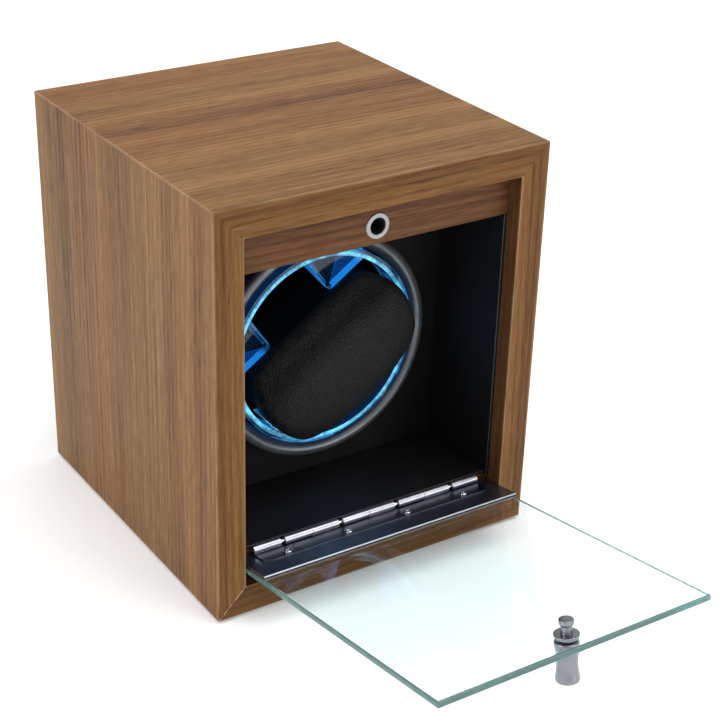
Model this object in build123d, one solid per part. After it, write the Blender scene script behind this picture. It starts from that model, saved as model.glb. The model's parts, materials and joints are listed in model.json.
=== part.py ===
"""Single watch winder: mitred veneered cabinet, drop-down glass door, lit belt-driven drum and cushion.

Origin: centre of the cabinet's footprint on the floor. +X right, +Y to the back, +Z up, millimetres.
"""

import os
from math import acos, atan2, cos, hypot, pi, radians, sin

from build123d import *

# ---- cabinet ----
WIDTH, DEPTH, HEIGHT = 155.0, 160.0, 180.0
WALL = 13.0
FELT_T, FELT_INSET = 1.5, 3.5
FRONT, BACK = -DEPTH / 2, DEPTH / 2
X_IN = WIDTH / 2 - WALL
Z_LOW, Z_TOP = FELT_T, FELT_T + HEIGHT
Z_IN_LOW, Z_IN_TOP = Z_LOW + WALL, Z_TOP - WALL
RABBET = 6.0
REAR_Y, REAR_T = 70.0, 3.0

# ---- front bars and linings ----
TOP_BAR_Y, TOP_BAR_T, TOP_BAR_LOW = -72.0, 10.0, 150.0
LOW_BAR_Y, LOW_BAR_T, LOW_BAR_TOP = -70.0, 8.0, 24.8
LINING = 1.4
BAFFLE_Y, BAFFLE_T = -28.0, 6.0

# ---- drum ----
HEAD_Z = 88.3
DRUM_TURN = 34.5
BAFFLE_HOLE_R = 47.0
HOLDER_R, HOLDER_IN_R = 44.8, 41.9
CROSS_HALF, TAB_CORNER_R = 17.2, 2.6
CUP_WALL = 1.6
SHAFT_R, RUN_GAP = 3.0, 0.05

# ---- drive ----
BOARD_Y, BOARD_T = 14.0, 4.0
MOTOR_X, MOTOR_Z = 38.0, 36.0
DRUM_GROOVE_R, MOTOR_GROOVE_R = 20.4, 6.8
BELT_GAP, BELT_T, BELT_Y0, BELT_Y1 = 0.3, 1.6, 30.3, 33.1

# ---- rear controls ----
PCB_Y, PCB_T = 56.0, 1.6
CONTROL_Z = 64.0
DIAL_X, SLIDER_X, BUTTON_X = -24.0, 2.0, 24.0
JACK_X, JACK_Z = 46.0, 34.0
SLIDER_TRAVEL = 3.0

# ---- door ----
AXIS_Y, AXIS_Z = -72.2, 25.2
DOOR_RISE = 9.5
KNUCKLE_R, PIN_R = 1.8, 0.65
SEG, SEG_GAP = 13.25, 2.0
LEAF_T, LEAF_TOP, LEAF_W, LEAF_CORNER = 0.6, 1.5, 10.7, 5.0
RAIL_T, RAIL_U0, RAIL_U1, RAIL_HALF = 1.7, -1.0, 21.1, 63.5
GLASS_T, GLASS_U0, GLASS_U1, GLASS_HALF = 3.0, 0.3, 140.6, 63.5
KNOB_U = 132.5
FLANGE_T = 1.6
SOCKET_Z = AXIS_Z + KNOB_U
SCREW_U = 7.8
SCREW_XS = (-44.6, -14.9, 14.9, 44.6)

RAIL_TOP = LEAF_TOP + LEAF_T
GLASS_TOP = RAIL_TOP + RAIL_T
GLASS_LOW = GLASS_TOP + GLASS_T

DOOR = Plane(
    origin=(0, AXIS_Y, AXIS_Z),
    x_dir=(1, 0, 0),
    z_dir=(0, -sin(radians(DOOR_RISE)), -cos(radians(DOOR_RISE))),
).location
DRUM = Plane(
    origin=(0, 0, HEAD_Z),
    x_dir=(cos(radians(DRUM_TURN)), 0, sin(radians(DRUM_TURN))),
    z_dir=(0, -1, 0),
).location


def block(x0, x1, y0, y1, z0, z1):
    """Return a box between two corners."""
    size = Box(x1 - x0, y1 - y0, z1 - z0)
    return Pos((x0 + x1) / 2, (y0 + y1) / 2, (z0 + z1) / 2) * size


def rod(radius, y0, y1, x=0.0, z=0.0):
    """Return a cylinder that runs along Y."""
    return Pos(x, (y0 + y1) / 2, z) * Rot(90, 0, 0) * Cylinder(radius, y1 - y0)


def ring(outer, inner, y0, y1, x=0.0, z=0.0):
    """Return a tube that runs along Y."""
    return rod(outer, y0, y1, x, z) - rod(inner, y0 - 1, y1 + 1, x, z)


def cross_rod(radius, x0, x1, y=0.0, z=0.0):
    """Return a cylinder that runs along X."""
    return Pos((x0 + x1) / 2, y, z) * Rot(0, 90, 0) * Cylinder(radius, x1 - x0)


def post(radius, z0, z1, x=0.0, y=0.0):
    """Return a cylinder that runs along Z."""
    return Pos(x, y, (z0 + z1) / 2) * Cylinder(radius, z1 - z0)


def prism(points, y0, y1):
    """Return a solid with an XZ outline that runs from y0 to y1."""
    outline = make_face(Polyline(*[(x, y0, z) for x, z in points], close=True))
    return extrude(outline, amount=y1 - y0, dir=(0, 1, 0))


def turned(points):
    """Return the solid of an (r, y) outline turned about the drum's axis."""
    outline = make_face(Polyline(*[(r, y, HEAD_Z) for r, y in points], close=True))
    return revolve(outline, Axis((0, 0, HEAD_Z), (0, 1, 0)))


def pan_screw(head_r, head_h, shank_r, length):
    """Return a cross-recessed screw with its head standing on z=0 and its shank below."""
    head = Pos(0, 0, head_h / 2) * Cylinder(head_r, head_h)
    head = fillet(head.edges().group_by(Axis.Z)[-1], head_h * 0.45)
    slot = Box(head_r * 1.15, head_r * 0.28, head_h)
    recess = Pos(0, 0, head_h * 1.05) * (slot + Rot(0, 0, 90) * slot)
    shank = Pos(0, 0, -length / 2) * Cylinder(shank_r, length)
    return head - recess + shank


def lead(points, radius):
    """Return a round lead that follows points with eased corners."""
    path = FilletPolyline(*points, radius=3.0)
    start = Plane(origin=path @ 0, z_dir=path % 0)
    return sweep(start * Circle(radius), path=path)


# ---- cabinet panels ----
def rear_rabbet():
    """Return the space cut into the panels for the rear panel."""
    half = X_IN + RABBET
    return block(-half, half, REAR_Y, BACK + 1, Z_IN_LOW - RABBET, Z_IN_TOP + RABBET)


def cabinet_panel(points):
    """Return one mitred panel with its share of the rear rabbet."""
    return prism(points, FRONT, BACK) - rear_rabbet()


def rear_screw_spots():
    """Return the rear panel's screw centres."""
    x = X_IN + RABBET / 2
    low, top = Z_IN_LOW - RABBET / 2, Z_IN_TOP + RABBET / 2
    return [(-x, low), (x, low), (-x, top), (x, top)]


def cabinet_panels():
    """Return the four mitred walls by name."""
    out, inner = WIDTH / 2, X_IN
    walls = {
        "left_side_panel": [(-out, Z_LOW), (-inner, Z_IN_LOW), (-inner, Z_IN_TOP), (-out, Z_TOP)],
        "right_side_panel": [(out, Z_LOW), (inner, Z_IN_LOW), (inner, Z_IN_TOP), (out, Z_TOP)],
        "top_panel": [(-out, Z_TOP), (-inner, Z_IN_TOP), (inner, Z_IN_TOP), (out, Z_TOP)],
        "bottom_panel": [(-out, Z_LOW), (-inner, Z_IN_LOW), (inner, Z_IN_LOW), (out, Z_LOW)],
    }
    screws = [rod(1.5, REAR_Y - 9, REAR_Y + 1, x, z) for x, z in rear_screw_spots()]
    panels = {}
    for name, points in walls.items():
        panel = cabinet_panel(points)
        for screw in screws:
            panel = panel - screw
        panels[name] = panel
    return panels


def rear_panel():
    """Return the set-in rear panel with its openings."""
    half = X_IN + RABBET - 0.3
    panel = block(-half, half, REAR_Y, REAR_Y + REAR_T, Z_IN_LOW - RABBET + 0.3, Z_IN_TOP + RABBET - 0.3)
    y0, y1 = REAR_Y - 1, REAR_Y + REAR_T + 1
    for x, z in rear_screw_spots():
        panel = panel - rod(1.5, y0, y1, x, z)
    panel = panel - rod(4.0, y0, y1, JACK_X, JACK_Z)
    panel = panel - rod(3.4, y0, y1, DIAL_X, CONTROL_Z)
    panel = panel - rod(3.6, y0, y1, BUTTON_X, CONTROL_Z)
    slot = 1.5 + SLIDER_TRAVEL + 0.3
    return panel - block(SLIDER_X - slot, SLIDER_X + slot, y0, y1, CONTROL_Z - 1.8, CONTROL_Z + 1.8)


def rear_panel_screws():
    """Return the four screws that hold the rear panel."""
    screw = Rot(-90, 0, 0) * pan_screw(2.8, 1.4, 1.5, REAR_T + 8.0)
    return Compound([Pos(x, REAR_Y + REAR_T, z) * screw for x, z in rear_screw_spots()])


def base_felt():
    """Return the felt pad glued under the cabinet."""
    half_x, half_y = WIDTH / 2 - FELT_INSET, DEPTH / 2 - FELT_INSET
    pad = block(-half_x, half_x, -half_y, half_y, 0, FELT_T)
    return fillet(pad.edges().filter_by(Axis.Z), 2.0)


def top_front_bar():
    """Return the bar over the opening, bored for the catch socket."""
    bar = block(-X_IN, X_IN, TOP_BAR_Y, TOP_BAR_Y + TOP_BAR_T, TOP_BAR_LOW, Z_IN_TOP)
    return bar - rod(4.5, TOP_BAR_Y - 1, TOP_BAR_Y + 9.0, 0, SOCKET_Z)


def bottom_front_bar():
    """Return the bar under the opening, drilled for the hinge screws."""
    bar = block(-X_IN, X_IN, LOW_BAR_Y, LOW_BAR_Y + LOW_BAR_T, Z_IN_LOW, LOW_BAR_TOP)
    for x in SCREW_XS:
        bar = bar - rod(0.9, LOW_BAR_Y - 1, LOW_BAR_Y + 5.0, x, AXIS_Z - SCREW_U)
    return bar


def catch_socket():
    """Return the nickel socket let into the top bar."""
    sleeve = rod(4.5, TOP_BAR_Y, TOP_BAR_Y + 9.0, 0, SOCKET_Z)
    collar = rod(5.5, TOP_BAR_Y - 0.5, TOP_BAR_Y, 0, SOCKET_Z)
    collar = chamfer(collar.edges().group_by(Axis.Y)[0], 0.3)
    return sleeve + collar - rod(3.6, TOP_BAR_Y - 1, TOP_BAR_Y + 8.2, 0, SOCKET_Z)


def catch_insert():
    """Return the soft black cup that lines the socket and grips the knob's plug."""
    cup = rod(3.6, TOP_BAR_Y - 0.2, TOP_BAR_Y + 8.2, 0, SOCKET_Z)
    return cup - rod(3.15, TOP_BAR_Y - 1, TOP_BAR_Y + 7.9, 0, SOCKET_Z)


def linings():
    """Return the four thin black linings by name."""
    side_top = TOP_BAR_LOW + LINING
    inner = X_IN - LINING
    return {
        "lining_left": block(-X_IN, -inner, TOP_BAR_Y + TOP_BAR_T, BAFFLE_Y, LOW_BAR_TOP, side_top)
        + block(-X_IN, -inner, TOP_BAR_Y, TOP_BAR_Y + TOP_BAR_T, LOW_BAR_TOP, TOP_BAR_LOW),
        "lining_right": block(inner, X_IN, TOP_BAR_Y + TOP_BAR_T, BAFFLE_Y, LOW_BAR_TOP, side_top)
        + block(inner, X_IN, TOP_BAR_Y, TOP_BAR_Y + TOP_BAR_T, LOW_BAR_TOP, TOP_BAR_LOW),
        "lining_floor": block(-inner, inner, LOW_BAR_Y, BAFFLE_Y, LOW_BAR_TOP, LOW_BAR_TOP + LINING),
        "lining_ceiling": block(-inner, inner, TOP_BAR_Y + TOP_BAR_T, BAFFLE_Y, TOP_BAR_LOW, side_top),
    }


# ---- lit bezel ----
def baffle_board():
    """Return the board that closes off the mechanism, with the drum's opening."""
    board = block(-X_IN, X_IN, BAFFLE_Y, BAFFLE_Y + BAFFLE_T, Z_IN_LOW, Z_IN_TOP)
    return board - rod(BAFFLE_HOLE_R, BAFFLE_Y - 1, BAFFLE_Y + BAFFLE_T + 1, 0, HEAD_Z)


def bezel_ring():
    """Return the bezel: a half-round bead outside, a cone running in to the drum."""
    bead_r, bead_y, half = 49.5, BAFFLE_Y - 4.15, 2.8
    steps = 12
    bead = []
    for i in range(steps + 1):
        angle = pi * i / steps
        bead.append((bead_r + half * cos(angle), bead_y - half * sin(angle)))
    base = [(47.0, BAFFLE_Y), (bead_r + half, BAFFLE_Y)]
    cone = [(45.5, BAFFLE_Y - 2.2), (45.5, BAFFLE_Y - 1.0), (47.0, BAFFLE_Y - 1.0)]
    return turned(base + bead + cone)


def light_strip():
    """Return the flexible strip that lines the baffle's opening."""
    return ring(BAFFLE_HOLE_R, BAFFLE_HOLE_R - 0.4, BAFFLE_Y, BAFFLE_Y + BAFFLE_T, 0, HEAD_Z)


def leds():
    """Return the LEDs on the strip, which shine inwards on the holder ring."""
    outer = BAFFLE_HOLE_R - 0.4
    blank = ring(outer, outer - 1.0, BAFFLE_Y + 1.5, BAFFLE_Y + 4.3, 0, HEAD_Z)
    lights = []
    for i in range(12):
        window = Rot(0, 30 * i, 0) * block(-1.75, 1.75, BAFFLE_Y, 0, outer - 3, outer + 1)
        lights.append(blank & (Pos(0, 0, HEAD_Z) * window))
    return Compound([solid for light in lights for solid in light.solids()])


# ---- drum ----
def drum_cup():
    """Return the cup behind the holder ring, with the boss that takes the shaft."""
    floor = 1.0
    cup = rod(HOLDER_R, -23.0, floor, 0, HEAD_Z)
    cup = fillet(cup.edges().group_by(Axis.Y)[-1], 1.8)
    cup = cup - rod(HOLDER_R - CUP_WALL, -24.0, floor - 2.0, 0, HEAD_Z)
    boss = rod(9.0, floor, 10.5, 0, HEAD_Z)
    return cup + boss - rod(SHAFT_R, floor, 11.0, 0, HEAD_Z)


def holder_ring():
    """Return the clear ring with four corner tabs and the webs behind their edges."""
    w_front, w_tab, tab_t, w_back = 35.0, 31.0, 4.0, 23.0
    rim = Pos(0, 0, (w_front + w_back) / 2) * (
        Cylinder(HOLDER_R, w_front - w_back) - Cylinder(HOLDER_IN_R, w_front - w_back + 2)
    )
    far = 50.0
    corner = Pos((CROSS_HALF + far) / 2, (CROSS_HALF + far) / 2) * Rectangle(far - CROSS_HALF, far - CROSS_HALF)
    tip = corner.vertices().sort_by(lambda v: v.X + v.Y)[0]
    corner = fillet(tip, TAB_CORNER_R)
    plate = extrude(corner & Circle(HOLDER_IN_R + 1.0), amount=tab_t)
    tab = Pos(0, 0, w_tab - tab_t) * plate
    web_in, web_out, web_t, web_deep = 20.0, 38.0, 1.6, 16.0
    low = w_tab - tab_t
    outline = Polyline(
        (CROSS_HALF, web_in, low), (CROSS_HALF, web_out, low), (CROSS_HALF, web_out, low - web_deep), close=True
    )
    web = extrude(make_face(outline), amount=web_t, dir=(1, 0, 0))
    other = mirror(web, Plane(origin=(0, 0, 0), z_dir=(1, -1, 0)))
    quarter = tab + web + other
    for i in range(4):
        rim = rim + Rot(0, 0, 90 * i) * quarter
    return DRUM * rim


def drum_shaft():
    """Return the drum's shaft with its circlip groove."""
    shaft = rod(SHAFT_R, 1.0, 39.0, 0, HEAD_Z)
    return shaft - ring(SHAFT_R + 1, 2.5, 36.0, 36.8, 0, HEAD_Z)


def pulley(groove_r, flange_r, bore_r, y0, y1, x, z):
    """Return a flat-belt pulley with two flanges."""
    wheel = rod(flange_r, y0, y1, x, z) - rod(bore_r, y0 - 1, y1 + 1, x, z)
    return wheel - ring(flange_r + 1, groove_r, BELT_Y0 - 0.3, BELT_Y1 + 0.3, x, z)


def pulley_circlip():
    """Return the open spring clip behind the drum pulley."""
    clip = ring(4.8, 2.5, 36.0, 36.8, 0, HEAD_Z)
    return clip - block(-1.6, 1.6, 35.0, 38.0, HEAD_Z - 6, HEAD_Z)


# ---- drive ----
def housing_spots():
    """Return the bearing housing's screw centres."""
    return [(12 * cos(radians(a)), HEAD_Z + 12 * sin(radians(a))) for a in (90, 210, 330)]


def mechanism_board():
    """Return the board that carries the housing and the motor."""
    y0, y1 = BOARD_Y, BOARD_Y + BOARD_T
    board = block(-X_IN, X_IN, y0, y1, Z_IN_LOW, Z_IN_TOP) - rod(9.0, y0 - 1, y1 + 1, 0, HEAD_Z)
    board = board - rod(4.0, y0 - 1, y1 + 1, MOTOR_X, MOTOR_Z)
    for x, z in housing_spots():
        board = board - rod(1.2, y0 - 1, y1 + 1, x, z)
    for side in (-1, 1):
        board = board - rod(1.25, y0 - 1, y1 + 1, MOTOR_X + side * 9.0, MOTOR_Z)
    for x in (0.0, MOTOR_X):
        board = board - rod(2.0, y0 - 1, y1 + 1, x, 19.0)
    return board


def bearing_housing():
    """Return the flanged housing for the drum's shaft."""
    flange = rod(16.0, BOARD_Y - 3.0, BOARD_Y, 0, HEAD_Z)
    barrel = rod(9.0, BOARD_Y, 26.0, 0, HEAD_Z)
    housing = flange + barrel - rod(4.6, 0, 40, 0, HEAD_Z)
    for x, z in housing_spots():
        housing = housing - rod(1.2, 0, 40, x, z)
    return housing


def housing_screws():
    """Return the three screws that hold the housing from behind the board."""
    screw = Rot(-90, 0, 0) * pan_screw(2.2, 1.2, 1.2, BOARD_T + 2.5)
    return Compound([Pos(x, BOARD_Y + BOARD_T, z) * screw for x, z in housing_spots()])


def gear_motor():
    """Return the gear motor: gearbox against the board, motor can in front of it."""
    gearbox = rod(14.0, -2.0, BOARD_Y, MOTOR_X, MOTOR_Z)
    can = fillet(rod(12.0, -20.0, -2.0, MOTOR_X, MOTOR_Z).edges().group_by(Axis.Y)[0], 1.0)
    motor = gearbox + can - rod(2.0 + RUN_GAP, 4.0, BOARD_Y + 1, MOTOR_X, MOTOR_Z)
    for side in (-1, 1):
        motor = motor - rod(1.25, BOARD_Y - 5.0, BOARD_Y + 1, MOTOR_X + side * 9.0, MOTOR_Z)
    return motor


def motor_screws():
    """Return the two screws that hold the motor from behind the board."""
    screw = Rot(-90, 0, 0) * pan_screw(2.4, 1.3, 1.25, BOARD_T + 5.0)
    spots = [MOTOR_X + side * 9.0 for side in (-1, 1)]
    return Compound([Pos(x, BOARD_Y + BOARD_T, MOTOR_Z) * screw for x in spots])


def loop(extra, y0, y1):
    """Return the solid inside a belt line that stands extra off both grooves."""
    big, small = DRUM_GROOVE_R + extra, MOTOR_GROOVE_R + extra
    dx, dz = MOTOR_X, MOTOR_Z - HEAD_Z
    span = hypot(dx, dz)
    along, swing = atan2(dz, dx), acos((big - small) / span)
    sides = []
    for sign in (1, -1):
        angle = along + sign * swing
        sides.append((cos(angle), sin(angle)))
    points = [
        (big * sides[0][0], HEAD_Z + big * sides[0][1]),
        (MOTOR_X + small * sides[0][0], MOTOR_Z + small * sides[0][1]),
        (MOTOR_X + small * sides[1][0], MOTOR_Z + small * sides[1][1]),
        (big * sides[1][0], HEAD_Z + big * sides[1][1]),
    ]
    return prism(points, y0, y1) + rod(big, y0, y1, 0, HEAD_Z) + rod(small, y0, y1, MOTOR_X, MOTOR_Z)


def drive_belt():
    """Return the flat belt round both pulleys."""
    return loop(BELT_GAP + BELT_T, BELT_Y0, BELT_Y1) - loop(BELT_GAP, BELT_Y0 - 1, BELT_Y1 + 1)


# ---- electrics ----
def board_standoffs():
    """Return the four standoffs between the control board and the rear panel."""
    spots = [(sx * 36.0, CONTROL_Z + sz * 18.0) for sx in (-1, 1) for sz in (-1, 1)]
    return Compound([rod(3.0, PCB_Y + PCB_T, REAR_Y, x, z) for x, z in spots])


def control_board():
    """Return the circuit board with its small parts."""
    back = PCB_Y + PCB_T
    board = block(-40, 40, PCB_Y, back, CONTROL_Z - 22, CONTROL_Z + 22)
    chip = block(-6, 6, PCB_Y - 2.0, PCB_Y, CONTROL_Z - 5, CONTROL_Z + 5)
    return board + chip + rod(4.0, PCB_Y - 9.0, PCB_Y, -24, CONTROL_Z - 10)


def dial_switch():
    """Return the rotary switch behind the program dial."""
    body = block(DIAL_X - 6.5, DIAL_X + 6.5, PCB_Y + PCB_T, 66.0, CONTROL_Z - 6.5, CONTROL_Z + 6.5)
    return body - rod(2.9 + RUN_GAP, 60.0, 67.0, DIAL_X, CONTROL_Z)


def program_dial():
    """Return the dial: spindle, skirted knob and raised pointer."""
    spindle = rod(2.9, 60.3, 74.0, DIAL_X, CONTROL_Z)
    knob = rod(7.5, 73.5, 79.3, DIAL_X, CONTROL_Z)
    knob = chamfer(knob.edges().group_by(Axis.Y)[-1], 0.8)
    for i in range(12):
        x, z = 7.9 * cos(pi * i / 6), 7.9 * sin(pi * i / 6)
        knob = knob - rod(0.9, 74.5, 80.0, DIAL_X + x, CONTROL_Z + z)
    mark = block(DIAL_X - 0.5, DIAL_X + 0.5, 78.5, 80.0, CONTROL_Z + 1.5, CONTROL_Z + 6.0)
    return spindle + knob - mark


def slide_switch():
    """Return the slide switch behind the direction slider."""
    body = block(SLIDER_X - 7.5, SLIDER_X + 7.5, PCB_Y + PCB_T, 65.0, CONTROL_Z - 4.5, CONTROL_Z + 4.5)
    slot = 1.5 + SLIDER_TRAVEL + 0.3
    return body - block(SLIDER_X - slot, SLIDER_X + slot, 61.0, 66.0, CONTROL_Z - 1.8, CONTROL_Z + 1.8)


def direction_slider():
    """Return the slider's lever and finger cap."""
    lever = block(SLIDER_X - 1.5, SLIDER_X + 1.5, 61.4, 74.0, CONTROL_Z - 1.5, CONTROL_Z + 1.5)
    cap = block(SLIDER_X - 2.5, SLIDER_X + 2.5, 73.4, 76.4, CONTROL_Z - 3.0, CONTROL_Z + 3.0)
    return lever + chamfer(cap.edges().group_by(Axis.Y)[-1], 0.5)


def light_switch():
    """Return the push switch behind the light button."""
    return block(BUTTON_X - 4, BUTTON_X + 4, PCB_Y + PCB_T, 61.6, CONTROL_Z - 4, CONTROL_Z + 4)


def light_button():
    """Return the light's push button with its keeper flange."""
    cap = fillet(rod(3.3, 63.4, 76.0, BUTTON_X, CONTROL_Z).edges().group_by(Axis.Y)[-1], 0.8)
    return cap + rod(4.6, 66.0, 67.5, BUTTON_X, CONTROL_Z)


def dc_jack():
    """Return the power inlet with its centre pin."""
    face = REAR_Y + REAR_T
    body = rod(4.0, 60.0, face, JACK_X, JACK_Z) + rod(5.6, face, face + 1.2, JACK_X, JACK_Z)
    return body - rod(2.9, 64.0, face + 2, JACK_X, JACK_Z) + rod(1.0, 63.0, face, JACK_X, JACK_Z)


def jack_nut():
    """Return the inlet's hexagon nut."""
    face = Plane(origin=(JACK_X, REAR_Y, JACK_Z), z_dir=(0, -1, 0))
    return extrude(face * (RegularPolygon(6.4, 6) - Circle(4.0)), amount=2.5)


def leads():
    """Return the three internal leads by name."""
    motor = [(MOTOR_X, -14, 24.2), (MOTOR_X, -14, 19), (MOTOR_X, 46, 19), (MOTOR_X, 46, 48), (MOTOR_X, PCB_Y, 48)]
    light = [(0, -22, 41.5), (0, -16, 41.5), (0, -16, 19), (0, 48, 19), (0, 48, 50), (0, PCB_Y, 50)]
    power = [(JACK_X, 60, JACK_Z), (JACK_X, 51, JACK_Z), (30, 51, JACK_Z), (30, 51, 46), (30, PCB_Y, 46)]
    return {
        "motor_lead": lead(motor, 0.9) - rod(12.0, -20, 14, MOTOR_X, MOTOR_Z),
        "light_lead": lead(light, 0.9),
        "power_lead": lead(power, 1.2),
    }


# ---- hinge ----
def segments(which):
    """Return the (x0, x1) spans of the door's knuckles (0) or the cabinet's (1)."""
    x = -(8 * SEG + 4 * SEG_GAP) / 2
    spans = []
    for i in range(8):
        if i % 2 == which:
            spans.append((x, x + SEG))
        x += SEG + (SEG_GAP if i % 2 == 0 else 0.0)
    return spans


def hinge_leaf(which, bore_r, play):
    """Return one leaf in the hinge's own frame: X along the pin, Y out, Z to the mounting side."""
    half = (8 * SEG + 4 * SEG_GAP) / 2
    root = 2.2
    plate = Pos(0, (root + LEAF_W) / 2) * Rectangle(2 * half, LEAF_W - root)
    plate = fillet(plate.vertices().group_by(Axis.Y)[-1], LEAF_CORNER)
    leaf = Pos(0, 0, LEAF_TOP) * extrude(plate, amount=LEAF_T)
    for x0, x1 in segments(which):
        x0, x1 = x0 + play, x1 - play
        leaf = leaf + cross_rod(KNUCKLE_R, x0, x1) + block(x0, x1, 0, root, LEAF_TOP, LEAF_TOP + LEAF_T)
    leaf = leaf - cross_rod(bore_r, -half - 1, half + 1)
    for x in SCREW_XS:
        leaf = leaf - post(0.9, 0, 5, x, SCREW_U)
    return leaf


def body_side(shape):
    """Place a shape from the hinge's frame on the bottom bar's front face."""
    return Pos(0, AXIS_Y, AXIS_Z) * Rot(-90, 0, 0) * shape


def hinge_body_leaf():
    """Return the leaf fixed to the bottom bar, countersunk for its screws."""
    leaf = hinge_leaf(1, PIN_R, 0.0)
    for x in SCREW_XS:
        leaf = leaf - Pos(x, SCREW_U, LEAF_TOP + LEAF_T / 2) * Cone(1.6, 0.9, LEAF_T)
    return body_side(leaf)


def hinge_body_screws():
    """Return the flush screws of the body leaf."""
    screw = Pos(0, 0, LEAF_TOP + LEAF_T / 2) * Cone(1.6, 0.9, LEAF_T) + post(0.9, LEAF_TOP + LEAF_T, LEAF_TOP + 5.5)
    slot = Box(2.0, 0.5, 0.7)
    screw = screw - Pos(0, 0, LEAF_TOP) * (slot + Rot(0, 0, 90) * slot)
    return Compound([body_side(Pos(x, SCREW_U, 0) * screw) for x in SCREW_XS])


def hinge_pin():
    """Return the pin through all eight knuckles."""
    half = (8 * SEG + 4 * SEG_GAP) / 2
    return cross_rod(PIN_R, -half, half, AXIS_Y, AXIS_Z)


# ---- door ----
def door_rail():
    """Return the metal rail: a plate on the glass with a lip behind its edge."""
    rail = block(-RAIL_HALF, RAIL_HALF, RAIL_U0, RAIL_U1, RAIL_TOP, GLASS_TOP)
    rail = rail + block(-RAIL_HALF, RAIL_HALF, RAIL_U0, GLASS_U0, GLASS_TOP, GLASS_LOW)
    for x in SCREW_XS:
        rail = rail - post(0.9, 0, RAIL_TOP + 1.4, x, SCREW_U)
    return DOOR * rail


def glass_pane():
    """Return the pane with its knob hole."""
    pane = block(-GLASS_HALF, GLASS_HALF, GLASS_U0, GLASS_U1, GLASS_TOP, GLASS_LOW)
    return DOOR * (pane - post(1.6, 0, 10, 0, KNOB_U))


def hinge_door_screws():
    """Return the four screws through the door leaf into the rail."""
    screw = Rot(180, 0, 0) * pan_screw(1.8, 0.8, 0.9, LEAF_T + 1.4)
    return Compound([DOOR * Pos(x, SCREW_U, LEAF_TOP) * screw for x in SCREW_XS])


def knob_part(points):
    """Return a knob piece turned from (r, depth) points about the knob's axis."""
    outline = make_face(Polyline(*[(r, 0, d) for r, d in points], close=True))
    return DOOR * Pos(0, KNOB_U, 0) * revolve(outline, Axis.Z)


def knob_body():
    """Return the waisted grip outside the glass, with its stud through the pane."""
    low = GLASS_LOW
    return knob_part([
        (0, GLASS_TOP - FLANGE_T), (1.6, GLASS_TOP - FLANGE_T), (1.6, low), (4.5, low), (4.8, low + 0.3),
        (4.8, low + 1.6), (4.45, low + 3.2), (4.15, low + 5.0), (4.05, low + 7.0), (4.15, low + 9.2),
        (4.4, low + 11.4), (4.65, low + 13.2), (4.65, low + 14.4), (4.05, low + 15.0), (0, low + 15.0),
    ])


def knob_flange():
    """Return the flange that clamps the pane from inside."""
    top = GLASS_TOP - FLANGE_T
    return knob_part([
        (1.6, GLASS_TOP), (4.6, GLASS_TOP), (4.9, top + 0.4), (4.9, top + 0.2), (4.7, top), (1.6, top),
    ])


def catch_plug():
    """Return the necked plug that enters the socket."""
    top = GLASS_TOP - FLANGE_T
    return knob_part([
        (0, top), (2.3, top), (2.15, top - 0.6), (2.15, top - 3.3), (2.5, top - 3.7), (2.85, top - 4.0),
        (2.85, top - 5.6), (2.55, top - 5.9), (0, top - 5.9),
    ])


# ---- cushion ----
def cushion_block(inset):
    """Return the cushion's form, drawn in by inset all round."""
    profile = [
        (54.5, 34.0, 19.0, 9.0), (52.8, 37.0, 22.8, 10.0), (48.0, 38.8, 25.4, 11.0), (42.0, 39.5, 24.4, 11.0),
        (37.5, 39.4, 20.0, 9.0), (34.0, 39.2, 16.8, 6.5), (5.5, 39.2, 16.8, 6.5), (3.0, 36.0, 14.0, 6.5),
    ]
    mid = (profile[0][0] + profile[-1][0]) / 2
    scale = 1 - inset / 25.0
    faces = []
    for w, a, b, r in profile:
        level = Plane(origin=(0, 0, mid + (w - mid) * scale))
        faces.append(level * RectangleRounded(2 * (a - inset), 2 * (b - inset), r - inset * 0.6))
    return DRUM * loft(faces, ruled=True)


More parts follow.
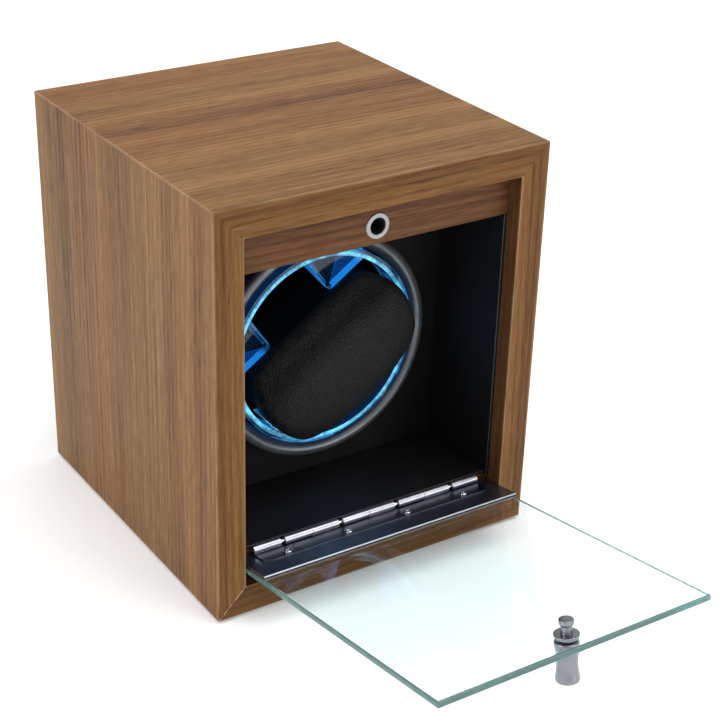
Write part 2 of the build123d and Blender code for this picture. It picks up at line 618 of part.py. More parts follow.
def nodes():
    """Return every piece by name."""
    parts = {}
    parts.update(cabinet_panels())
    parts.update(linings())
    parts.update(leads())
    parts["rear_panel"] = rear_panel()
    parts["rear_panel_screws"] = rear_panel_screws()
    parts["base_felt"] = base_felt()
    parts["top_front_bar"] = top_front_bar()
    parts["bottom_front_bar"] = bottom_front_bar()
    parts["catch_socket"] = catch_socket()
    parts["catch_insert"] = catch_insert()
    parts["baffle_board"] = baffle_board()
    parts["bezel_ring"] = bezel_ring()
    parts["light_strip"] = light_strip()
    parts["leds"] = leds()
    parts["mechanism_board"] = mechanism_board()
    parts["bearing_housing"] = bearing_housing()
    parts["housing_screws"] = housing_screws()
    parts["front_bush"] = ring(4.6, SHAFT_R + RUN_GAP, 11.3, 16.3, 0, HEAD_Z)
    parts["rear_bush"] = ring(4.6, SHAFT_R + RUN_GAP, 20.7, 25.7, 0, HEAD_Z)
    parts["gear_motor"] = gear_motor()
    parts["motor_screws"] = motor_screws()
    parts["motor_shaft"] = rod(2.0, 4.3, 36.0, MOTOR_X, MOTOR_Z)
    parts["motor_pulley"] = pulley(MOTOR_GROOVE_R, 9.3, 2.0, 28.0, 35.5, MOTOR_X, MOTOR_Z)
    parts["drive_belt"] = drive_belt()
    parts["control_board"] = control_board()
    parts["board_standoffs"] = board_standoffs()
    parts["dial_switch"] = dial_switch()
    parts["program_dial"] = program_dial()
    parts["slide_switch"] = slide_switch()
    parts["direction_slider"] = direction_slider()
    parts["light_switch"] = light_switch()
    parts["light_button"] = light_button()
    parts["dc_jack"] = dc_jack()
    parts["jack_nut"] = jack_nut()
    parts["hinge_body_leaf"] = hinge_body_leaf()
    parts["hinge_body_screws"] = hinge_body_screws()
    parts["hinge_pin"] = hinge_pin()
    parts["hinge_door_leaf"] = DOOR * hinge_leaf(0, PIN_R + RUN_GAP, 0.15)
    parts["hinge_door_screws"] = hinge_door_screws()
    parts["door_rail"] = door_rail()
    parts["glass_pane"] = glass_pane()
    parts["knob_body"] = knob_body()
    parts["knob_flange"] = knob_flange()
    parts["catch_plug"] = catch_plug()
    parts["drum_cup"] = drum_cup()
    parts["holder_ring"] = holder_ring()
    parts["drum_shaft"] = drum_shaft()
    parts["drum_pulley"] = pulley(DRUM_GROOVE_R, 23.0, SHAFT_R, 28.0, 36.0, 0, HEAD_Z)
    parts["pulley_circlip"] = pulley_circlip()
    core = cushion_block(2.2)
    parts["cushion_cover"] = cushion_block(0.0) - core
    parts["cushion_core"] = core
    return parts


os.makedirs("parts", exist_ok=True)
for name, shape in nodes().items():
    export_step(shape, f"parts/{name}.step")
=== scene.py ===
"""Looks of a single watch winder: veneered box, drop-down glass door, lit drum and leather cushion."""

import json
import logging
import math
from dataclasses import dataclass, field
from enum import Enum

import bmesh
import bpy
from mathutils import Matrix, Vector

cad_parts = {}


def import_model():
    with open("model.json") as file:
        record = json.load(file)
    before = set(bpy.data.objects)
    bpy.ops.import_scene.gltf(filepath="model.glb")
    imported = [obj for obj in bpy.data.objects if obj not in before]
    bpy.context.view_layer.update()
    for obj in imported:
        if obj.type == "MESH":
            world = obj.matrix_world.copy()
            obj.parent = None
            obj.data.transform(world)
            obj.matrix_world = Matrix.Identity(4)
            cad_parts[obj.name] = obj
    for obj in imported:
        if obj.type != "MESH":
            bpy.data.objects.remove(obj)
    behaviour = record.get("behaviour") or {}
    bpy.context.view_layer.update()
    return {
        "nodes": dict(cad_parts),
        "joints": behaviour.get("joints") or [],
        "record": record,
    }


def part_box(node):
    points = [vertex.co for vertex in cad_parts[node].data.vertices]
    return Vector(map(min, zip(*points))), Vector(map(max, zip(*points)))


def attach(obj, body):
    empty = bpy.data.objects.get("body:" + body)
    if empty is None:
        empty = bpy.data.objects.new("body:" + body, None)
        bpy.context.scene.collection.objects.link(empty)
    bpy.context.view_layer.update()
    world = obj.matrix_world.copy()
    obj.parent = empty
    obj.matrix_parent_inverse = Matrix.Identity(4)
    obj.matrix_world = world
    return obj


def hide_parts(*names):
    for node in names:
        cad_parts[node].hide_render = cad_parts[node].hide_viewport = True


MM = 0.001
LOG = logging.getLogger("winder")
Colour = tuple[float, float, float]

# The box's planes in metres: half sizes, and the height of its middle above the floor.
HALF_WIDTH, HALF_DEPTH, HALF_HEIGHT = 0.0775, 0.08, 0.09
MIDDLE, UNDERSIDE = 0.0915, 0.0015
OPENING_HALF_WIDTH, OPENING_HALF_HEIGHT = 0.0645, 0.077
DRAWN_OUT = 0.022  # how far the figure is drawn out along the grain


class Grain(Enum):
    """Direction that the veneer's grain runs in."""

    ALONG_X = (DRAWN_OUT, 1.0, 1.0)
    ALONG_Z = (1.0, 1.0, DRAWN_OUT)


# ---------------------------------------------------------------- node graphs
class Graph:
    """A node tree with short calls to add nodes and join them."""

    def __init__(self, tree: bpy.types.NodeTree) -> None:
        """Wrap a tree.

        Args:
            tree: the material's or the group's node tree.
        """
        self.tree = tree
        self.column = 0

    def add(self, kind: str, **values: object) -> bpy.types.Node:
        """Add a node and set its plain properties.

        Args:
            kind: the node's type name.
            values: properties by name.

        Returns:
            The new node.
        """
        node = self.tree.nodes.new(kind)
        self.column += 1
        node.location = (self.column * 190, -(self.column % 4) * 160)
        for name, value in values.items():
            setattr(node, name, value)
        return node

    def feed(self, node: bpy.types.Node, **inputs: object) -> bpy.types.Node:
        """Set or link inputs by name, with underscores for spaces.

        Args:
            node: the node to feed.
            inputs: sockets or values by input name.

        Returns:
            The same node.
        """
        for name, value in inputs.items():
            socket = node.inputs[name.replace("_", " ")]
            if isinstance(value, bpy.types.NodeSocket):
                self.tree.links.new(value, socket)
            else:
                socket.default_value = value
        return node

    def split(self, vector: bpy.types.NodeSocket) -> bpy.types.NodeOutputs:
        """Part a vector into X, Y and Z.

        Args:
            vector: the vector's socket.

        Returns:
            The three sockets.
        """
        node = self.add("ShaderNodeSeparateXYZ")
        self.tree.links.new(vector, node.inputs[0])
        return node.outputs

    def math(self, operation: str, a: object, b: object = 0.0, clamp: bool = False) -> bpy.types.NodeSocket:
        """Add a Math node.

        Args:
            operation: the node's operation.
            a: first socket or number.
            b: second socket or number.
            clamp: keep the result from 0 to 1.

        Returns:
            The result's socket.
        """
        node = self.add("ShaderNodeMath", operation=operation, use_clamp=clamp)
        for slot, value in enumerate((a, b)):
            if isinstance(value, bpy.types.NodeSocket):
                self.tree.links.new(value, node.inputs[slot])
            else:
                node.inputs[slot].default_value = value
        return node.outputs[0]

    def noise(
        self, vector: object, scale: float, detail: float = 3.0, rough: float = 0.55
    ) -> bpy.types.NodeSocket:
        """Add a noise texture and return its value socket.

        Args:
            vector: coordinates.
            scale: features per metre.
            detail: octaves.
            rough: how strong the fine octaves are.

        Returns:
            The noise value.
        """
        node = self.add("ShaderNodeTexNoise")
        self.feed(node, Vector=vector, Scale=scale, Detail=detail, Roughness=rough)
        return node.outputs[0]

    def band(
        self, value: object, low: float, high: float, to: tuple[float, float] = (0.0, 1.0)
    ) -> bpy.types.NodeSocket:
        """Map a value smoothly from one range to another.

        Args:
            value: the value's socket.
            low: where the result begins.
            high: where the result ends.
            to: the result at low and at high.

        Returns:
            The mapped value.
        """
        node = self.add("ShaderNodeMapRange", interpolation_type="SMOOTHSTEP")
        self.feed(node, Value=value, From_Min=low, From_Max=high, To_Min=to[0], To_Max=to[1])
        return node.outputs[0]

    def blend(self, factor: object, a: object, b: object, how: str = "MIX") -> bpy.types.NodeSocket:
        """Mix two colours.

        Args:
            factor: how much of the second.
            a: first colour or socket.
            b: second colour or socket.
            how: the node's blend type.

        Returns:
            The mixed colour.
        """
        node = self.add("ShaderNodeMix", data_type="RGBA", blend_type=how)
        for slot, value in ((0, factor), (6, a), (7, b)):
            if isinstance(value, bpy.types.NodeSocket):
                self.tree.links.new(value, node.inputs[slot])
            elif isinstance(value, tuple):
                node.inputs[slot].default_value = (*value, 1.0)
            else:
                node.inputs[slot].default_value = value
        return node.outputs[2]

    def bump(self, height: object, strength: float, distance: float) -> bpy.types.NodeSocket:
        """Add a Bump node.

        Args:
            height: the height's socket.
            strength: from 0 to 1.
            distance: depth in metres.

        Returns:
            The bent normal.
        """
        node = self.add("ShaderNodeBump")
        self.feed(node, Height=height, Strength=strength, Distance=distance)
        return node.outputs[0]


class Effects:
    """Shader node groups that several finishes share. Each is built once."""

    made: dict[str, bpy.types.NodeTree] = {}

    @classmethod
    def group(
        cls, name: str, inputs: dict[str, object], outputs: dict[str, str]
    ) -> tuple[bpy.types.NodeTree, Graph]:
        """Start a group with its sockets.

        Args:
            name: the group's name.
            inputs: default value, or the word Vector, by input name.
            outputs: socket type's last word by output name.

        Returns:
            The tree and a graph on it.
        """
        tree = bpy.data.node_groups.new(name, "ShaderNodeTree")
        for label, value in inputs.items():
            kind = "Vector" if value == "Vector" else "Float"
            socket = tree.interface.new_socket(name=label, in_out="INPUT", socket_type=f"NodeSocket{kind}")
            if kind == "Float":
                socket.default_value = value
        for label, kind in outputs.items():
            tree.interface.new_socket(name=label, in_out="OUTPUT", socket_type=f"NodeSocket{kind}")
        cls.made[name] = tree
        return tree, Graph(tree)

    @classmethod
    def use(cls, graph: Graph, name: str, **inputs: object) -> bpy.types.Node:
        """Place a shared group in a material.

        Args:
            graph: the material's graph.
            name: the group's name.
            inputs: values or sockets by input name.

        Returns:
            The group's node.
        """
        if name not in cls.made:
            getattr(cls, f"make_{name}")()
        node = graph.add("ShaderNodeGroup", node_tree=cls.made[name])
        return graph.feed(node, **inputs)

    @classmethod
    def make_wood_figure(cls) -> None:
        """Straight grain: tone, growth lines, streaks and pores, on coordinates drawn out along it."""
        inputs = {"Vector": "Vector", "Dash": "Vector", "Spacing": 0.0037, "Waviness": 0.0075}
        outputs = {"Tone": "Float", "Hue": "Float", "Growth": "Float", "Streak": "Float", "Pore": "Float"}
        tree, g = cls.group("wood_figure", inputs, outputs)
        source, end = g.add("NodeGroupInput"), g.add("NodeGroupOutput")
        vector = source.outputs["Vector"]
        across = g.add("ShaderNodeVectorMath", operation="DOT_PRODUCT")
        tree.links.new(vector, across.inputs[0])
        across.inputs[1].default_value = (1.0, 1.0, 1.0)
        sway = g.math("MULTIPLY", g.noise(vector, 34.0, 3.0, 0.6), source.outputs["Waviness"])
        turns = g.math("DIVIDE", g.math("ADD", across.outputs["Value"], sway), source.outputs["Spacing"])
        rings = g.band(g.math("SINE", g.math("MULTIPLY", turns, math.tau)), -0.2, 1.0)
        presence = g.band(g.noise(vector, 42.0, 2.0), 0.36, 0.60, (0.15, 1.0))
        g.feed(
            end, Growth=g.math("MULTIPLY", rings, presence), Tone=g.noise(vector, 60.0, 3.0, 0.5),
            Hue=g.noise(vector, 21.0, 2.0, 0.4),
        )
        short = g.add("ShaderNodeVectorMath", operation="MULTIPLY")
        tree.links.new(vector, short.inputs[0])
        tree.links.new(source.outputs["Dash"], short.inputs[1])
        long_streak, dash = g.noise(vector, 700.0, 3.0, 0.6), g.noise(short.outputs[0], 1050.0, 3.0, 0.7)
        both = g.math("ADD", g.math("MULTIPLY", long_streak, 0.42), g.math("MULTIPLY", dash, 0.58))
        pore = g.band(g.noise(short.outputs[0], 1300.0, 2.0), 0.30, 0.42, (1.0, 0.0))
        g.feed(end, Streak=both, Pore=pore)

    @classmethod
    def make_box_edge(cls) -> None:
        """Mask of the box's outer edges and the opening's front edges, where a painted highlight lightens the
        veneer.
        """
        inputs = {"Vector": "Vector", "Width": 0.0010}
        _, g = cls.group("box_edge", inputs, {"Edge": "Float"})
        source = g.add("NodeGroupInput")
        x, y, z = g.split(source.outputs["Vector"])
        height = g.math("SUBTRACT", z, MIDDLE)

        def near(value: bpy.types.NodeSocket, at: float) -> bpy.types.NodeSocket:
            """Return how near a value's size is to a plane."""
            gap = g.math("ABSOLUTE", g.math("SUBTRACT", at, g.math("ABSOLUTE", value)))
            far = g.math("DIVIDE", gap, source.outputs["Width"], clamp=True)
            return g.math("SUBTRACT", 1.0, far, clamp=True)

        side, face, lid = near(x, HALF_WIDTH), near(y, HALF_DEPTH), near(height, HALF_HEIGHT)
        ends = (OPENING_HALF_HEIGHT + 0.0002, OPENING_HALF_HEIGHT + 0.0008)
        opening = g.band(g.math("ABSOLUTE", height), *ends, (1.0, 0.0))
        inner = g.math("MULTIPLY", near(x, OPENING_HALF_WIDTH), opening)
        total = g.math("MULTIPLY", side, face)
        for pair in ((face, lid), (side, lid), (inner, face)):
            total = g.math("ADD", total, g.math("MULTIPLY", *pair), clamp=True)
        patchy = g.band(g.noise(source.outputs["Vector"], 45.0, 2.0), 0.2, 0.55)
        g.feed(g.add("NodeGroupOutput"), Edge=g.math("MULTIPLY", total, patchy))

    @classmethod
    def make_micro_finish(cls) -> None:
        """Small unevenness of a plain surface: a roughness value, a tone and a height."""
        inputs = {"Vector": "Vector", "Rough": 0.4, "Spread": 0.1}
        _, g = cls.group("micro_finish", inputs, {"Roughness": "Float", "Tone": "Float", "Height": "Float"})
        source = g.add("NodeGroupInput")
        cloud = g.noise(source.outputs["Vector"], 60.0, 4.0, 0.6)
        swing = g.math("MULTIPLY", g.math("SUBTRACT", cloud, 0.5), source.outputs["Spread"])
        g.feed(
            g.add("NodeGroupOutput"), Tone=cloud, Height=g.noise(source.outputs["Vector"], 2600.0, 2.0),
            Roughness=g.math("ADD", source.outputs["Rough"], swing, clamp=True),
        )

    @classmethod
    def make_leather_grain(cls) -> None:
        """Pebbled leather: cells with soft creases between them, and a height."""
        inputs = {"Vector": "Vector", "Cells": 760.0}
        tree, g = cls.group("leather_grain", inputs, {"Crease": "Float", "Height": "Float"})
        source = g.add("NodeGroupInput")
        warp = g.add("ShaderNodeVectorMath", operation="MULTIPLY_ADD")
        cloud = g.add("ShaderNodeTexNoise")
        g.feed(cloud, Vector=source.outputs["Vector"], Scale=420.0, Detail=2.0)
        tree.links.new(cloud.outputs["Color"], warp.inputs[0])
        warp.inputs[1].default_value = (0.0011, 0.0011, 0.0011)
        tree.links.new(source.outputs["Vector"], warp.inputs[2])
        cells = g.add("ShaderNodeTexVoronoi", feature="DISTANCE_TO_EDGE")
        g.feed(cells, Vector=warp.outputs[0], Scale=source.outputs["Cells"], Randomness=1.0)
        crease = g.band(cells.outputs["Distance"], 0.0, 0.28)
        fine = g.noise(source.outputs["Vector"], 3800.0, 3.0, 0.6)
        height = g.math("ADD", crease, g.math("MULTIPLY", fine, 0.35))
        g.feed(g.add("NodeGroupOutput"), Crease=crease, Height=height)

    @classmethod
    def make_brushed_lines(cls) -> None:
        """Fine lines of a brushed or turned metal, on coordinates already drawn out along the lines."""
        inputs = {"Vector": "Vector", "Rough": 0.25, "Spread": 0.12}
        _, g = cls.group("brushed_lines", inputs, {"Roughness": "Float", "Height": "Float"})
        source = g.add("NodeGroupInput")
        lines = g.noise(source.outputs["Vector"], 3200.0, 3.0, 0.6)
        swing = g.math("MULTIPLY", g.math("SUBTRACT", lines, 0.5), source.outputs["Spread"])
        rough = g.math("ADD", source.outputs["Rough"], swing, clamp=True)
        g.feed(g.add("NodeGroupOutput"), Roughness=rough, Height=lines)


# ---------------------------------------------------------------- finishes
class Finish:
    """A finish that makes its material once and hands it out by name."""

    shelf: dict[str, bpy.types.Material] = {}

    def start(self, name: str) -> tuple[bpy.types.Material, Graph, bpy.types.Node]:
        """Make an empty material with one Principled shader.

        Args:
            name: the material's name.

        Returns:
            The material, its graph and its shader node.
        """
        material = bpy.data.materials.new(name)
        material.use_nodes = True
        material.node_tree.nodes.clear()
        graph = Graph(material.node_tree)
        shader = graph.add("ShaderNodeBsdfPrincipled")
        out = graph.add("ShaderNodeOutputMaterial")
        graph.tree.links.new(shader.outputs[0], out.inputs[0])
        return material, graph, shader

    def place(
        self, graph: Graph, scale: Colour = (1.0, 1.0, 1.0), shift: Colour = (0.0, 0.0, 0.0)
    ) -> bpy.types.NodeSocket:
        """Add object coordinates through a Mapping node.

        Args:
            graph: the material's graph.
            scale: the mapping's scale.
            shift: the mapping's location.

        Returns:
            The mapped coordinates.
        """
        where = graph.add("ShaderNodeTexCoord")
        mapping = graph.add("ShaderNodeMapping")
        graph.feed(mapping, Location=shift, Scale=scale, Vector=where.outputs["Object"])
        return mapping.outputs[0]

    def build(self) -> bpy.types.Material:
        """Make the material. Each finish has its own."""
        raise NotImplementedError

    def material(self) -> bpy.types.Material:
        """Return the material, made at the first call."""
        key = repr(self)
        if key not in Finish.shelf:
            Finish.shelf[key] = self.build()
        return Finish.shelf[key]


@dataclass(frozen=True)
class WalnutVeneer(Finish):
    """Open-pored walnut veneer under satin lacquer. The front edges' grain turns the corners."""

    name: str
    grain: Grain
    shift: Colour
    turn: Colour
    glued: bool = False
    dark: Colour = (0.082, 0.037, 0.0125)
    mid: Colour = (0.168, 0.085, 0.029)
    light: Colour = (0.262, 0.143, 0.053)
    red: Colour = (1.04, 0.91, 0.90)
    # painted shade: the front edges are darker and browner than the other faces, as the front gets less light
    # and sheen
    front_shade: Colour = (0.86, 0.86, 0.68)
    outer_band: Colour = (0.68, 0.64, 0.52)
    # painted shade: the faces inside the opening are darker, as shade falls in the recess
    reveal_shade: Colour = (0.54, 0.46, 0.50)
    # painted highlight: the lighter colour along the box's edges
    highlit_edge: Colour = (0.46, 0.30, 0.17)
    glue: Colour = (0.62, 0.46, 0.28)

    def front(self, g: Graph) -> bpy.types.NodeSocket:
        """Return the front edges' coordinates: depth in from the box's side, and the way round.

        Args:
            g: the material's graph.

        Returns:
            The coordinates.
        """
        x, _, z = g.split(self.place(g))
        height = g.math("ABSOLUTE", g.math("SUBTRACT", z, MIDDLE))
        deep_x = g.math("SUBTRACT", HALF_WIDTH, g.math("ABSOLUTE", x))
        deep_z = g.math("SUBTRACT", HALF_HEIGHT, height)
        across, way = (deep_x, z) if self.grain is Grain.ALONG_Z else (deep_z, x)
        along = g.math("ADD", g.math("MULTIPLY", way, self.turn[0]), self.turn[1])
        both = g.add("ShaderNodeCombineXYZ")
        g.feed(both, X=across, Y=self.turn[2], Z=g.math("MULTIPLY", along, DRAWN_OUT))
        return both.outputs[0]

    def figure(
        self, g: Graph, vector: bpy.types.NodeSocket, grain: Grain
    ) -> tuple[bpy.types.NodeSocket, bpy.types.Node]:
        """Return the veneer's colour and its figure for some coordinates.

        Args:
            g: the material's graph.
            vector: coordinates drawn out along the grain.
            grain: which of the coordinates runs along the grain.

        Returns:
            The colour and the figure group's node.
        """
        dash = (3.2, 1.2, 1.2) if grain is Grain.ALONG_X else (1.2, 1.2, 3.2)
        made = Effects.use(g, "wood_figure", Vector=vector, Dash=dash)
        tone = g.math("MULTIPLY", made.outputs["Tone"], 0.42)
        mixed = g.math("ADD", tone, g.math("MULTIPLY", made.outputs["Streak"], 0.58))
        mixed = g.math("SUBTRACT", mixed, g.math("MULTIPLY", made.outputs["Growth"], 0.055))
        low = g.blend(g.band(mixed, 0.35, 0.48), self.dark, self.mid)
        colour = g.blend(g.band(mixed, 0.46, 0.60), low, self.light)
        colour = g.blend(g.band(made.outputs["Hue"], 0.34, 0.66), colour, self.red, "MULTIPLY")
        return g.blend(g.math("MULTIPLY", made.outputs["Pore"], 0.30), colour, self.dark), made

    def frame_tone(self, g: Graph) -> bpy.types.NodeSocket:
        """Return the front edges' colour, with painted shade over the whole front and a darker band near the
        box's outside.

        Args:
            g: the material's graph.

        Returns:
            The colour.
        """
        around = self.front(g)
        plain, _ = self.figure(g, around, Grain.ALONG_Z)
        wander = g.math("MULTIPLY", g.noise(around, 90.0, 2.0), 0.0016)
        ring = g.math("ADD", g.split(around)[0], wander)
        outside, inside = g.band(ring, 0.0012, 0.0022), g.band(ring, 0.0048, 0.0064, (1.0, 0.0))
        # painted shade over the front faces
        front_in_shade = g.blend(1.0, plain, self.front_shade, "MULTIPLY")
        banded = g.blend(1.0, plain, self.outer_band, "MULTIPLY")
        return g.blend(g.math("MULTIPLY", outside, inside), front_in_shade, banded)

    def build(self) -> bpy.types.Material:
        """Lay figure, streaks and pores, with a painted highlight along the edges.

        Returns:
            The veneer's material.
        """
        material, g, shader = self.start(self.name)
        plain = self.place(g)
        outer, figure = self.figure(g, self.place(g, self.grain.value, self.shift), self.grain)
        x, y, z = g.split(plain)
        at_front = g.band(y, 0.00005 - HALF_DEPTH, 0.0002 - HALF_DEPTH, (1.0, 0.0))
        height = g.math("ABSOLUTE", g.math("SUBTRACT", z, MIDDLE))
        past_side = g.math("SUBTRACT", g.math("ABSOLUTE", x), OPENING_HALF_WIDTH)
        beyond = g.math("MAXIMUM", past_side, g.math("SUBTRACT", height, OPENING_HALF_HEIGHT))
        # painted shade on the faces inside the opening
        inside = g.band(beyond, 0.00005, 0.0004, (1.0, 0.0))
        outer = g.blend(inside, outer, g.blend(1.0, outer, self.reveal_shade, "MULTIPLY"))
        colour = g.blend(at_front, outer, self.frame_tone(g))
        edge = Effects.use(g, "box_edge", Vector=plain)
        # painted highlight along the edges, in patches
        colour = g.blend(g.math("MULTIPLY", edge.outputs["Edge"], 0.42), colour, self.highlit_edge)
        if self.glued:
            slant = g.math("SUBTRACT", g.math("ADD", x, HALF_WIDTH), g.math("SUBTRACT", z, UNDERSIDE))
            line = g.band(g.math("ABSOLUTE", slant), 0.0001, 0.0003, (1.0, 0.0))
            line = g.math("MULTIPLY", line, g.band(g.noise(plain, 300.0, 2.0), 0.35, 0.6))
            colour = g.blend(g.math("MULTIPLY", line, at_front), colour, self.glue)
        streak, pore = figure.outputs["Streak"], figure.outputs["Pore"]
        relief = g.math("SUBTRACT", g.math("MULTIPLY", streak, 0.35), pore)
        g.feed(
            shader, Base_Color=colour, Roughness=g.band(streak, 0.3, 0.7, (0.54, 0.42)),
            Normal=g.bump(relief, 0.22, 0.00008), Specular_IOR_Level=0.14,
        )
        return material


@dataclass(frozen=True)
class Plain(Finish):
    """A moulded, painted or laminated surface of one colour with a little unevenness."""

    name: str
    colour: Colour
    rough: float = 0.5
    spread: float = 0.12
    metal: float = 0.0
    specular: float = 0.5
    relief: float = 0.00002

    def build(self) -> bpy.types.Material:
        """Mottle the colour, vary the roughness and raise a fine texture.

        Returns:
            The surface's material.
        """
        material, g, shader = self.start(self.name)
        where = self.place(g)
        uneven = Effects.use(g, "micro_finish", Vector=where, Rough=self.rough, Spread=self.spread)
        darker = tuple(c * 0.8 for c in self.colour)
        lighter = tuple(min(1.0, c * 1.16) for c in self.colour)
        colour = g.blend(g.band(uneven.outputs["Tone"], 0.3, 0.7), darker, lighter)
        g.feed(
            shader, Base_Color=colour, Roughness=uneven.outputs["Roughness"], Metallic=self.metal,
            Normal=g.bump(uneven.outputs["Height"], 0.35, self.relief), Specular_IOR_Level=self.specular,
        )
        return material


@dataclass(frozen=True)
class WorkedMetal(Finish):
    """Bare or plated metal with fine working lines."""

    name: str
    colour: Colour
    rough: float
    spread: float = 0.08
    lines: Colour = (0.02, 1.0, 1.0)
    relief: float = 0.000004

    def build(self) -> bpy.types.Material:
        """Draw the lines out along the working direction.

        Returns:
            The metal's material.
        """
        material, g, shader = self.start(self.name)
        vector = self.place(g, self.lines)
        worked = Effects.use(g, "brushed_lines", Vector=vector, Rough=self.rough, Spread=self.spread)
        shade = g.noise(self.place(g), 140.0, 3.0)
        darker = tuple(c * 0.86 for c in self.colour)
        g.feed(
            shader, Base_Color=g.blend(g.band(shade, 0.3, 0.7), darker, self.colour), Metallic=1.0,
            Roughness=worked.outputs["Roughness"], Normal=g.bump(worked.outputs["Height"], 0.25, self.relief),
        )
        return material


@dataclass(frozen=True)
class GrainedLeather(Finish):
    """Black leather with a pebbled grain and a soft sheen on the grain's tops."""

    colour: Colour = (0.0072, 0.0074, 0.0082)

    def build(self) -> bpy.types.Material:
        """Lay pebbles and creases over the padded form, with painted shade in the creases.

        Returns:
            The leather's material.
        """
        material, g, shader = self.start("cushion_leather")
        grain = Effects.use(g, "leather_grain", Vector=self.place(g))
        # painted shade: the creases between the pebbles are darkened
        deep = tuple(c * 0.45 for c in self.colour)
        crease = grain.outputs["Crease"]
        g.feed(
            shader, Base_Color=g.blend(crease, deep, self.colour), Specular_IOR_Level=0.30,
            Roughness=g.band(crease, 0.0, 1.0, (0.68, 0.47)),
            Normal=g.bump(grain.outputs["Height"], 0.85, 0.00034),
        )
        return material


@dataclass(frozen=True)
class LitAcrylic(Finish):
    """Clear acrylic that carries blue light: bright along its cut edges, faint in its walls."""

    edge: bool
    middle: tuple[float, float] = (0.0, 0.0883)
    rim_radius: float = 0.0418
    wall: Colour = (0.001, 0.008, 0.026)
    shade: Colour = (0.0005, 0.004, 0.016)
    face: Colour = (0.150, 0.640, 0.900)
    line: Colour = (0.36, 0.95, 1.10)
    tab: Colour = (0.090, 0.500, 0.880)
    tab_side: Colour = (0.006, 0.085, 0.230)
    outer_line: Colour = (0.010, 0.140, 0.360)
    dull: Colour = (0.006, 0.09, 0.24)
    dark: Colour = (0.0, 0.001, 0.004)

    def build(self) -> bpy.types.Material:
        """Glow by where the light leaves: the ring's front, its edges, and the tabs' edges.

        Returns:
            The acrylic's material.
        """
        material, g, shader = self.start("acrylic_edge" if self.edge else "acrylic_wall")
        where = self.place(g, shift=(-self.middle[0], 0.0, -self.middle[1]))
        x, _, z = g.split(where)
        flat = g.feed(g.add("ShaderNodeCombineXYZ"), X=x, Z=z)
        length = g.feed(g.add("ShaderNodeVectorMath", operation="LENGTH"), Vector=flat.outputs[0])
        radius = length.outputs["Value"]
        rim = g.band(radius, self.rim_radius - 0.0006, self.rim_radius + 0.0001)
        streaks = g.band(g.noise(where, 210.0, 4.0, 0.6), 0.32, 0.68, (0.35, 1.0))
        inner = g.band(radius, self.rim_radius + 0.0012, self.rim_radius + 0.0022, (1.0, 0.0))
        if self.edge:
            colour = g.blend(rim, self.tab, g.blend(inner, self.outer_line, self.line))
            emitted = g.blend(streaks, self.dull, colour)
        else:
            facing = g.split(g.add("ShaderNodeNewGeometry").outputs["True Normal"])
            ahead = g.band(g.math("ABSOLUTE", facing[1]), 0.55, 0.9)
            lit = g.math("MULTIPLY", inner, g.band(streaks, 0.35, 1.0, (0.25, 1.0)))
            front = g.blend(rim, self.dark, g.blend(lit, self.shade, self.face))
            side = g.blend(rim, self.tab_side, self.wall)
            emitted = g.blend(ahead, side, front)
        g.feed(
            shader, Emission_Color=emitted, Emission_Strength=1.0, Base_Color=(0.10, 0.26, 0.45, 1.0),
            Roughness=g.band(g.noise(where, 900.0, 2.0), 0.3, 0.7, (0.02, 0.08)),
            IOR=1.49, Transmission_Weight=0.96,
        )
        return material


@dataclass(frozen=True)
class PaneGlass(Finish):
    """Float glass. Its faces are clear; its ground edges show the glass's green body."""

    edge: bool

    def build(self) -> bpy.types.Material:
        """Let shadow rays pass so that the floor under the pane stays bright.

        Returns:
            The glass's material.
        """
        material, g, shader = self.start("glass_edge" if self.edge else "glass_face")
        where = self.place(g)
        if self.edge:
            ground = g.band(g.noise(where, 160.0, 3.0), 0.3, 0.7)
            colour = g.blend(ground, (0.22, 0.56, 0.52), (0.34, 0.70, 0.66))
            rough = g.band(ground, 0.0, 1.0, (0.08, 0.16))
        else:
            film = g.noise(where, 28.0, 4.0)
            colour = g.blend(g.band(film, 0.35, 0.7), (0.930, 1.0, 1.0), (0.950, 1.0, 1.0))
            rough = g.band(film, 0.3, 0.75, (0.0, 0.003))
        index, through, mirror = (1.5, 0.75, 0.5) if self.edge else (1.42, 1.0, 0.22)
        g.feed(
            shader, Base_Color=colour, Roughness=rough, IOR=index, Transmission_Weight=through,
            Specular_IOR_Level=mirror,
        )
        path = g.add("ShaderNodeLightPath")
        unseen = g.math("MAXIMUM", path.outputs["Is Shadow Ray"], path.outputs["Is Diffuse Ray"])
        clear = g.add("ShaderNodeBsdfTransparent")
        clear.inputs[0].default_value = (0.86, 0.95, 0.94, 1.0) if self.edge else (0.945, 1.0, 1.0, 1.0)
        mix = g.add("ShaderNodeMixShader")
        g.tree.links.new(unseen, mix.inputs[0])
        g.tree.links.new(shader.outputs[0], mix.inputs[1])
        g.tree.links.new(clear.outputs[0], mix.inputs[2])
        out = next(n for n in g.tree.nodes if n.type == "OUTPUT_MATERIAL")
        g.tree.links.new(mix.outputs[0], out.inputs[0])
        return material


@dataclass(frozen=True)
class Glowing(Finish):
    """A small light source."""

    name: str
    colour: Colour
    strength: float

    def build(self) -> bpy.types.Material:
        """Glow, brighter where the die sits.

        Returns:
            The light's material.
        """
        material, g, shader = self.start(self.name)
        dies = g.band(g.noise(self.place(g), 900.0, 1.0), 0.3, 0.7)
        dim = tuple(c * 0.6 for c in self.colour)
        g.feed(
            shader, Emission_Color=g.blend(dies, dim, self.colour), Emission_Strength=self.strength,
            Base_Color=(*self.colour, 1.0),
        )
        return material


